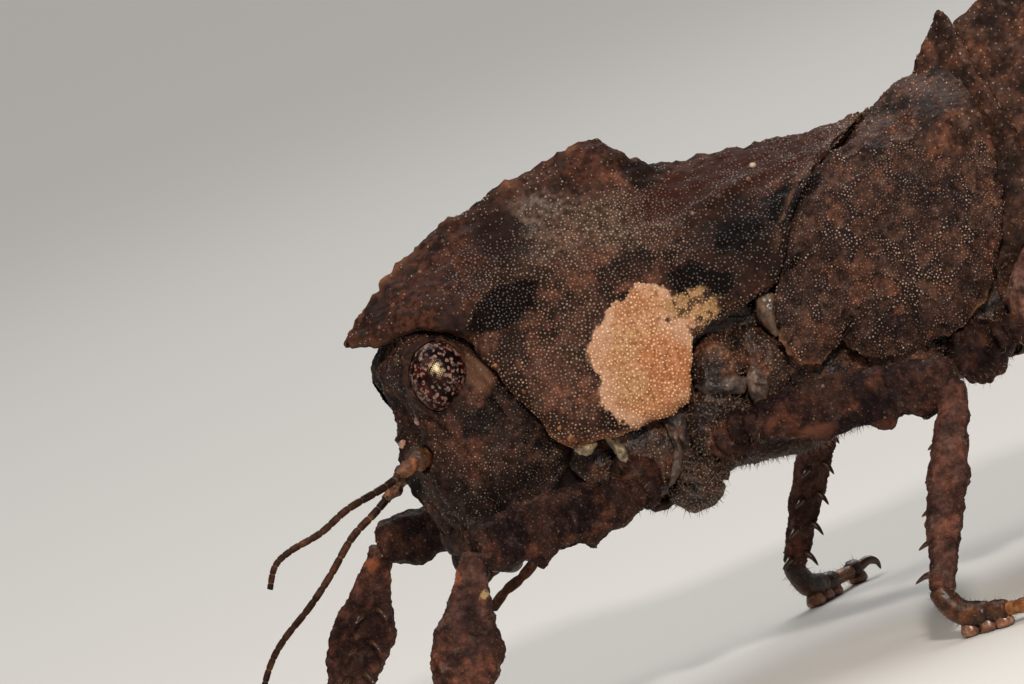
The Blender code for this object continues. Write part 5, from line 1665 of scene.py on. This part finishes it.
def lobed(u, high):
    """Rounded lobes that hang from the lower edge of a short thigh."""
    if high > -0.6:
        return 0.0
    return sum(drop * bell(u - share, 0.05) for share, drop in LOBE_SHARES) * (-high - 0.6) / 0.4


def herringbone(u, high):
    """Slanting ribs that meet along the middle of the thigh's broad face."""
    if abs(high) > 0.72 or u < 0.06 or u > 0.86:
        return 0.0
    slope = abs(high - 0.05)
    return 0.075 * math.sin(2 * math.pi * (u * CHEVRONS - slope * 1.5)) * min(1.0, (0.72 - abs(high)) * 6)


def spine(root, tip, radius, bend):
    """One curved, pointed spine."""
    middle = root.lerp(tip, 0.5) + bend

    def section(u, turn):
        reach = radius * (1 - u) ** 0.8 + 0.006
        reach *= round_end(u, 0.02)
        return round_at(reach, turn)

    hint = UP if abs((tip - root).normalized().z) < 0.9 else Vector((1, 0, 0))
    return skin(7, 8, lambda u, v: tube_spot([tuple(root), tuple(middle), tuple(tip)], section, u, v, hint))


def join(target, other):
    """Add one skin to another."""
    moved = bpy.data.meshes.new("moved")
    other.to_mesh(moved)
    other.free()
    target.from_mesh(moved)
    bpy.data.meshes.remove(moved)


def two_rows(bm, start, end, outward, count, length, lean, offset):
    """Spines in two rows along a shin, longer towards the foot."""
    axis = (end - start).normalized()
    across = axis.cross(outward).normalized()
    for row in (-1, 1):
        for step in range(count):
            share = 0.3 + 0.66 * (step + 0.25 * (row > 0)) / (count - 0.75)
            root = start.lerp(end, share) + outward * offset * 0.55 + across * row * 0.14
            way = (outward + across * row * 0.55 + axis * lean).normalized()
            reach = length * (0.7 + 0.3 * share)
            join(bm, spine(root, root + way * reach, SPINE_ROOT, outward * 0.04 - axis * 0.05))


def hip_section(u, turn):
    """The ringed swelling of a hip."""
    radius = (0.44 + 0.16 * math.sin(math.pi * u) + 0.03 * math.sin(u * 19)) * round_end(u, 0.3)
    return round_at(radius, turn)


def knee_section(u, turn):
    """The rounded lobes that hold the head of the hind shin."""
    close = round_end(u, 0.22)
    return 0.62 * close * math.cos(turn), (0.44 + 0.05 * abs(math.cos(turn))) * close * math.sin(turn)


def ring_section(u, turn):
    """The short joint between the hip and the thigh, with a groove round it."""
    radius = (0.37 - 0.09 * bell(u - 0.5, 0.07) + 0.04 * bell(u - 0.3, 0.12)) * round_end(u, 0.2)
    return round_at(radius, turn)


for side, side_name in SIDES:
    for leg in LEGS:
        hip = joint_place(leg, "hip", side)
        ring_place = joint_place(leg, "ring", side)
        knee = joint_place(leg, "knee", side)
        ankle = joint_place(leg, "ankle", side)
        way = (knee - ring_place).normalized()
        thigh_start = ring_place + way * THIGH_START
        hip_line = (ring_place - hip).normalized() * 0.25
        scale = 1.25 if leg == "hind" else 1.0
        hip_path = [tuple(hip - hip_line * 2), tuple(hip), tuple(ring_place)]

        def scaled_hip(u, turn):
            """A hip's section at the size of this leg."""
            high, wide = hip_section(u, turn)
            return high * scale, wide * scale

        hip_bm = skin(40, 44, lambda u, v: tube_spot(hip_path, scaled_hip, u, v))
        roughen(hip_bm, [(0.08, 0.5), (0.04, 0.15)])
        hip_piece = settle(leg + "_hip_" + side_name, hip_bm, leg_brown)
        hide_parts(leg + "_coxa_" + side_name)
        ring_path = [tuple(ring_place + way * onward) for onward in (-0.15, 0.25, 0.75)]
        ring_bm = skin(26, 36, lambda u, v: tube_spot(ring_path, ring_section, u, v))
        roughen(ring_bm, [(0.03, 0.3), (0.015, 0.1)])
        ring_piece = settle(leg + "_ring_joint_" + side_name, ring_bm, leg_brown)

        if leg == "hind":
            thigh = keeled_limb(straight(thigh_start, knee), HIND_THIGH, 205, 96, UP, 0.03, herringbone)
            roughen(thigh, [(0.07, 1.1), (0.03, 0.3), (0.012, 0.1)])
            shin_head = knee + Vector((0.85, 0, -0.15))
            knee_path = [tuple(knee - way * 0.9), tuple(knee), tuple(shin_head + Vector((0.0, 0, 0.05)))]
            lobes = skin(40, 44, lambda u, v: tube_spot(knee_path, knee_section, u, v, UP))
            roughen(lobes, [(0.05, 0.5), (0.025, 0.15)])
            join(thigh, lobes)
            bend = knee + Vector((0.55, 0, -1.6))
            path = [tuple(shin_head), tuple(bend), *straight(bend, ankle, (0.25, 0.45, 0.65, 0.85, 1.0))]
            shin = keeled_limb(path, HIND_SHIN, 170, 44, UP, 0.05)
            axis = (ankle - bend).normalized()
            outward = axis.cross(Vector((0, side, 0))).normalized()
            if outward.z > 0:
                outward = -outward
            spine_args = (bend, ankle, outward, 8, 1.2, 0.5, 0.35)
        else:
            thigh = keeled_limb(straight(thigh_start, knee), SHORT_THIGH, 112, 84, UP, 0.07, fluted, 0.05)
            roughen(thigh, [(0.06, 0.6), (0.03, 0.2), (0.01, 0.08)])
            start = knee - UP * KNEE_DROP - way * 0.05
            shin = keeled_limb(straight(start, ankle), SHINS[leg], 120, 60, FORWARD, 0.07, fluted)
            spine_args = (start, ankle, Vector((0, -side, 0)), 5, 0.6, 0.6, 0.4)
        roughen(shin, [(0.05, 0.5), (0.025, 0.16), (0.01, 0.07)])
        thigh_piece = settle(leg + "_thigh_" + side_name, thigh, hind_brown if leg == "hind" else leg_brown)
        shin_piece = settle(leg + "_shin_" + side_name, shin, shin_brown)
        spines = bmesh.new()
        two_rows(spines, *spine_args)
        spine_piece = settle(leg + "_shin_spines_" + side_name, spines, spine_black)
        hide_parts(leg + "_femur_" + side_name)
        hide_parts(leg + "_tibia_" + side_name)
        hosts = [hip_piece, ring_piece]
        hairs = sow(leg + "_hip_hairs_" + side_name, hosts, HIP_HAIRS, joint_pale, seed=45 + side, lean=0.6)
        fix("cuticle", hip_piece, ring_piece, thigh_piece, shin_piece, spine_piece, hairs)
        hosts = [thigh_piece, shin_piece]
        leg_beads = HIND_LEG_BEADS if leg == "hind" else SHORT_LEG_BEADS
        fine = sow(leg + "_leg_grains_" + side_name, hosts, leg_beads, leg_grain, seed=41 + side)
        warts = sow(leg + "_leg_warts_" + side_name, [thigh_piece], LEG_WARTS, knob_pale, seed=51 + side)
        fix("cuticle", fine, warts)


# The feet: a padded first joint, a short second and a slender amber third that carries two
# dark claws with a soft round pad between them. The pads rest flat on the floor.

# Three places of each joint, onward and up from the heel, and its radius; a pad's place and radius
FOOT_JOINTS = (
    ((-0.2, 1.3), (0.18, 0.62), (0.95, 0.4), 0.29), ((0.85, 0.4), (1.1, 0.4), (1.4, 0.36), 0.25),
    ((1.3, 0.38), (1.8, 0.37), (2.3, 0.34), 0.17),
)
FOOT_PADS = ((0.3, 0.24), (0.78, 0.22), (1.2, 0.22), (2.38, 0.24))
FOOT_HAIRS = (0.12, 0.008, 0.16)
foot_dark = bark_material(
    "foot_dark", (0.012, 0.006, 0.004), (0.04, 0.017, 0.009), (0.11, 0.036, 0.012), (0.07, 0.034, 0.018),
    0.2, 0.012, 0.3)
foot_amber = bark_material(
    "foot_amber", (0.13, 0.04, 0.01), (0.26, 0.085, 0.02), (0.32, 0.12, 0.032), (0.22, 0.1, 0.035), 0.16,
    0.008, 0.35)
pad_pale = bark_material(
    "pad_pale", (0.14, 0.055, 0.03), (0.25, 0.115, 0.065), (0.3, 0.12, 0.055), (0.36, 0.22, 0.15), 0.12,
    0.006, MOIST)


def plain_limb(points, radii, rows, columns, up_hint=UP, end=0.15):
    """A round limb through points with a radius at each of them."""
    path = [tuple(point) for point in points]
    sizes = [(radius, 0.0) for radius in radii]

    def section(u, turn):
        radius = along(sizes, u)[0] * round_end(u, end)
        return round_at(radius, turn)

    return skin(rows, columns, lambda u, v: tube_spot(path, section, u, v, up_hint))


def rest_flat(bm):
    """Nothing of a foot goes below the floor."""
    for vert in bm.verts:
        vert.co.z = max(vert.co.z, 0.0)


for side, side_name in SIDES:
    for leg in LEGS:
        ankle = joint_place(leg, "ankle", side)
        toe_x, toe_y = LEGS[leg]["toe"]
        way = Vector((toe_x, side * toe_y, 0)).normalized()
        across = Vector((-way.y, way.x, 0))
        heel = Vector((ankle.x, ankle.y, 0)) + way * 0.1

        def spot_on(onward, up, beside=0.0):
            """A place on the foot, from its heel."""
            return heel + way * onward + across * beside + UP * up

        dark = bmesh.new()
        pads = bmesh.new()
        for number, (begin, middle, stop, radius) in enumerate(FOOT_JOINTS):
            joint = plain_limb([spot_on(*begin), spot_on(*middle), spot_on(*stop)],
                               [radius * 0.85, radius, radius * 0.9], 30, 30)
            roughen(joint, [(0.02, 0.3), (0.01, 0.08)])
            rest_flat(joint)
            if number < 2:
                join(dark, joint)
            else:
                amber = settle(leg + "_foot_amber_joint_" + side_name, joint, foot_amber)
        for onward, radius in FOOT_PADS:
            pad = plain_limb([spot_on(onward, 0.0), spot_on(onward, 0.15), spot_on(onward, 0.42)],
                             [radius * 0.95, radius, radius * 0.6], 12, 24, way, 0.3)
            rest_flat(pad)
            join(pads, pad)
        tip = plain_limb([spot_on(2.1, 0.34), spot_on(2.35, 0.36), spot_on(2.55, 0.32)], [0.2, 0.25, 0.16],
                         24, 26)
        join(dark, tip)
        claws = bmesh.new()
        for hand in (-1, 1):
            claw = plain_limb([spot_on(2.35, 0.36, hand * 0.1), spot_on(2.62, 0.45, hand * 0.27),
                               spot_on(2.82, 0.34, hand * 0.38), spot_on(2.87, 0.12, hand * 0.4)],
                              [0.14, 0.12, 0.08, 0.02], 24, 14)
            join(claws, claw)
        dark_piece = settle(leg + "_foot_joints_" + side_name, dark, foot_dark)
        pad_piece = settle(leg + "_foot_pads_" + side_name, pads, pad_pale)
        claw_piece = settle(leg + "_claws_" + side_name, claws, spine_black)
        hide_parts(leg + "_tarsus_" + side_name)
        hosts = [dark_piece, amber]
        foot_hairs = sow(leg + "_foot_hairs_" + side_name, hosts, FOOT_HAIRS, wart_pale, seed=61 + side,
                         lean=0.5)
        fix("foot", dark_piece, pad_piece, claw_piece, amber, foot_hairs)


# The tail: a plate over the vent, a short feeler-like cercus each side, and four hard
# hooked valves with which the female digs.

# Place, reach upwards, reach sideways
TAIL_PLATE = (
    (23.2, 0, 7.9, 0.3, 0.85), (24.0, 0, 7.95, 0.34, 0.95), (24.9, 0, 7.8, 0.33, 0.86),
    (25.4, 0, 7.7, 0.28, 0.72),
    (26.05, 0, 7.5, 0.12, 0.28))
CERCUS = (
    (23.0, 1.1, 7.3, 0.26, 0.26), (23.7, 1.38, 7.38, 0.27, 0.27), (24.3, 1.55, 7.45, 0.25, 0.25),
    (24.8, 1.66, 7.45, 0.2, 0.2), (25.35, 1.62, 7.4, 0.07, 0.07))
VALVES = {
    "upper": (
        (24.0, 0.42, 7.05, 0.3, 0.34), (25.2, 0.5, 7.0, 0.28, 0.33), (26.0, 0.5, 6.95, 0.22, 0.27),
        (26.65, 0.45, 7.25, 0.05, 0.07)),
    "lower": (
        (23.5, 0.42, 6.5, 0.3, 0.34), (24.4, 0.46, 6.4, 0.3, 0.34), (25.2, 0.5, 6.33, 0.27, 0.33),
        (25.9, 0.5, 6.25, 0.21, 0.26), (26.45, 0.45, 5.92, 0.05, 0.07)),
}

tail_plate = oval_tube(TAIL_PLATE, 40, 50, UP)
roughen(tail_plate, [(0.04, 0.4), (0.02, 0.12)], lambda spot: -0.05 * bell(spot.y, 0.1))
tail_piece = settle("vent_plate", tail_plate, ring_brown)
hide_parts("epiproct")
fix("cuticle", tail_piece)
for side, side_name in SIDES:
    cercus = oval_tube(CERCUS, 40, 30, UP, side)
    roughen(cercus, [(0.03, 0.3), (0.015, 0.1)])
    cercus_piece = settle("tail_feeler_" + side_name, cercus, ring_brown)
    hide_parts("cercus_" + side_name)
    fix("cuticle", cercus_piece)
    for place, path in VALVES.items():
        valve = oval_tube(path, 50, 36, UP, side)
        roughen(valve, [(0.03, 0.3)], lambda spot: 0.035 * math.sin(spot.x * 17) * bell(spot.x - 26.0, 0.5))
        valve_piece = settle(place + "_valve_" + side_name, valve, jaw_black)
        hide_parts("valve_" + place + "_" + side_name)
        fix("cuticle", valve_piece)


# The beads and warts of the abdomen, and the larger warts that stand along the shield's
# shoulder and crest, one of them cream and one, at the front corner, orange.

# Place on the side, and radius
CREAM_WARTS = ((3.2, 11.19, 0.1),)
SHIELD_WARTS = (
    (2.85, 10.97, 0.07), (2.0, 10.86, 0.07), (1.25, 10.72, 0.06), (4.0, 11.05, 0.06),
    (0.6, 10.45, 0.05), (-4.2, 12.05, 0.05), (-5.0, 11.6, 0.05), (-5.9, 11.1, 0.06), (-6.4, 10.75, 0.05),
)
CORNER_WARTS = (
    (-3.42, 6.93, 0.1), (-3.6, 7.25, 0.055), (-4.05, 8.3, 0.05), (-4.42, 9.1, 0.05), (-2.2, 6.9, 0.05))
RING_BEADS = (0.166, 0.028, 0.024)
RING_WARTS = (0.34, 0.06, 0.05)
wart_brown = bark_material(
    "wart_brown", (0.07, 0.038, 0.028), (0.15, 0.08, 0.055), (0.2, 0.085, 0.05), (0.24, 0.17, 0.13), 0.26,
    0.006)
wart_orange = bark_material(
    "wart_orange", (0.16, 0.06, 0.025), (0.3, 0.12, 0.05), (0.38, 0.15, 0.06), (0.4, 0.24, 0.14), 0.28, 0.006)


def plant(name, surface, spots, paint):
    """Low warts at places on both sides of a piece, each sunk a little in its surface."""
    tree = BVHTree.FromObject(surface, bpy.context.evaluated_depsgraph_get())
    bm = bmesh.new()
    for x, z, radius in spots:
        for side in (-1, 1):
            start = Vector((x, side * 12.0, z)) * MM + SHIFT
            hit, normal = tree.ray_cast(start, Vector((0, -side, 0)))[:2]
            if hit is None:
                continue
            turn = normal.to_track_quat("Z", "Y").to_matrix().to_4x4()
            place = Matrix.Translation((hit - SHIFT) / MM) @ turn @ Matrix.Diagonal((1, 1, 0.75, 1))
            bmesh.ops.create_icosphere(bm, subdivisions=2, radius=radius, matrix=place)
    return settle(name, bm, paint)


WART_SETS = (
    ("cream_warts", CREAM_WARTS, wart_pale), ("shield_warts", SHIELD_WARTS, wart_brown),
    ("corner_warts", CORNER_WARTS, wart_orange),
)
for name, spots, paint in WART_SETS:
    warts = plant(name, shield_piece, spots, paint)
    fix("pronotum", warts)

for name, beds in (("front", ring_beds[:4]), ("hind", ring_beds[4:])):
    hosts = [settle("ring_bed", bed, ring_brown) for bed in beds]
    grains = sow("abdomen_grains_" + name, hosts, RING_BEADS, grain_gold, seed=71)
    warts = sow("abdomen_warts_" + name, hosts, RING_WARTS, wart_brown, seed=73)
    lift(hosts)
    fix("cuticle", grains, warts)
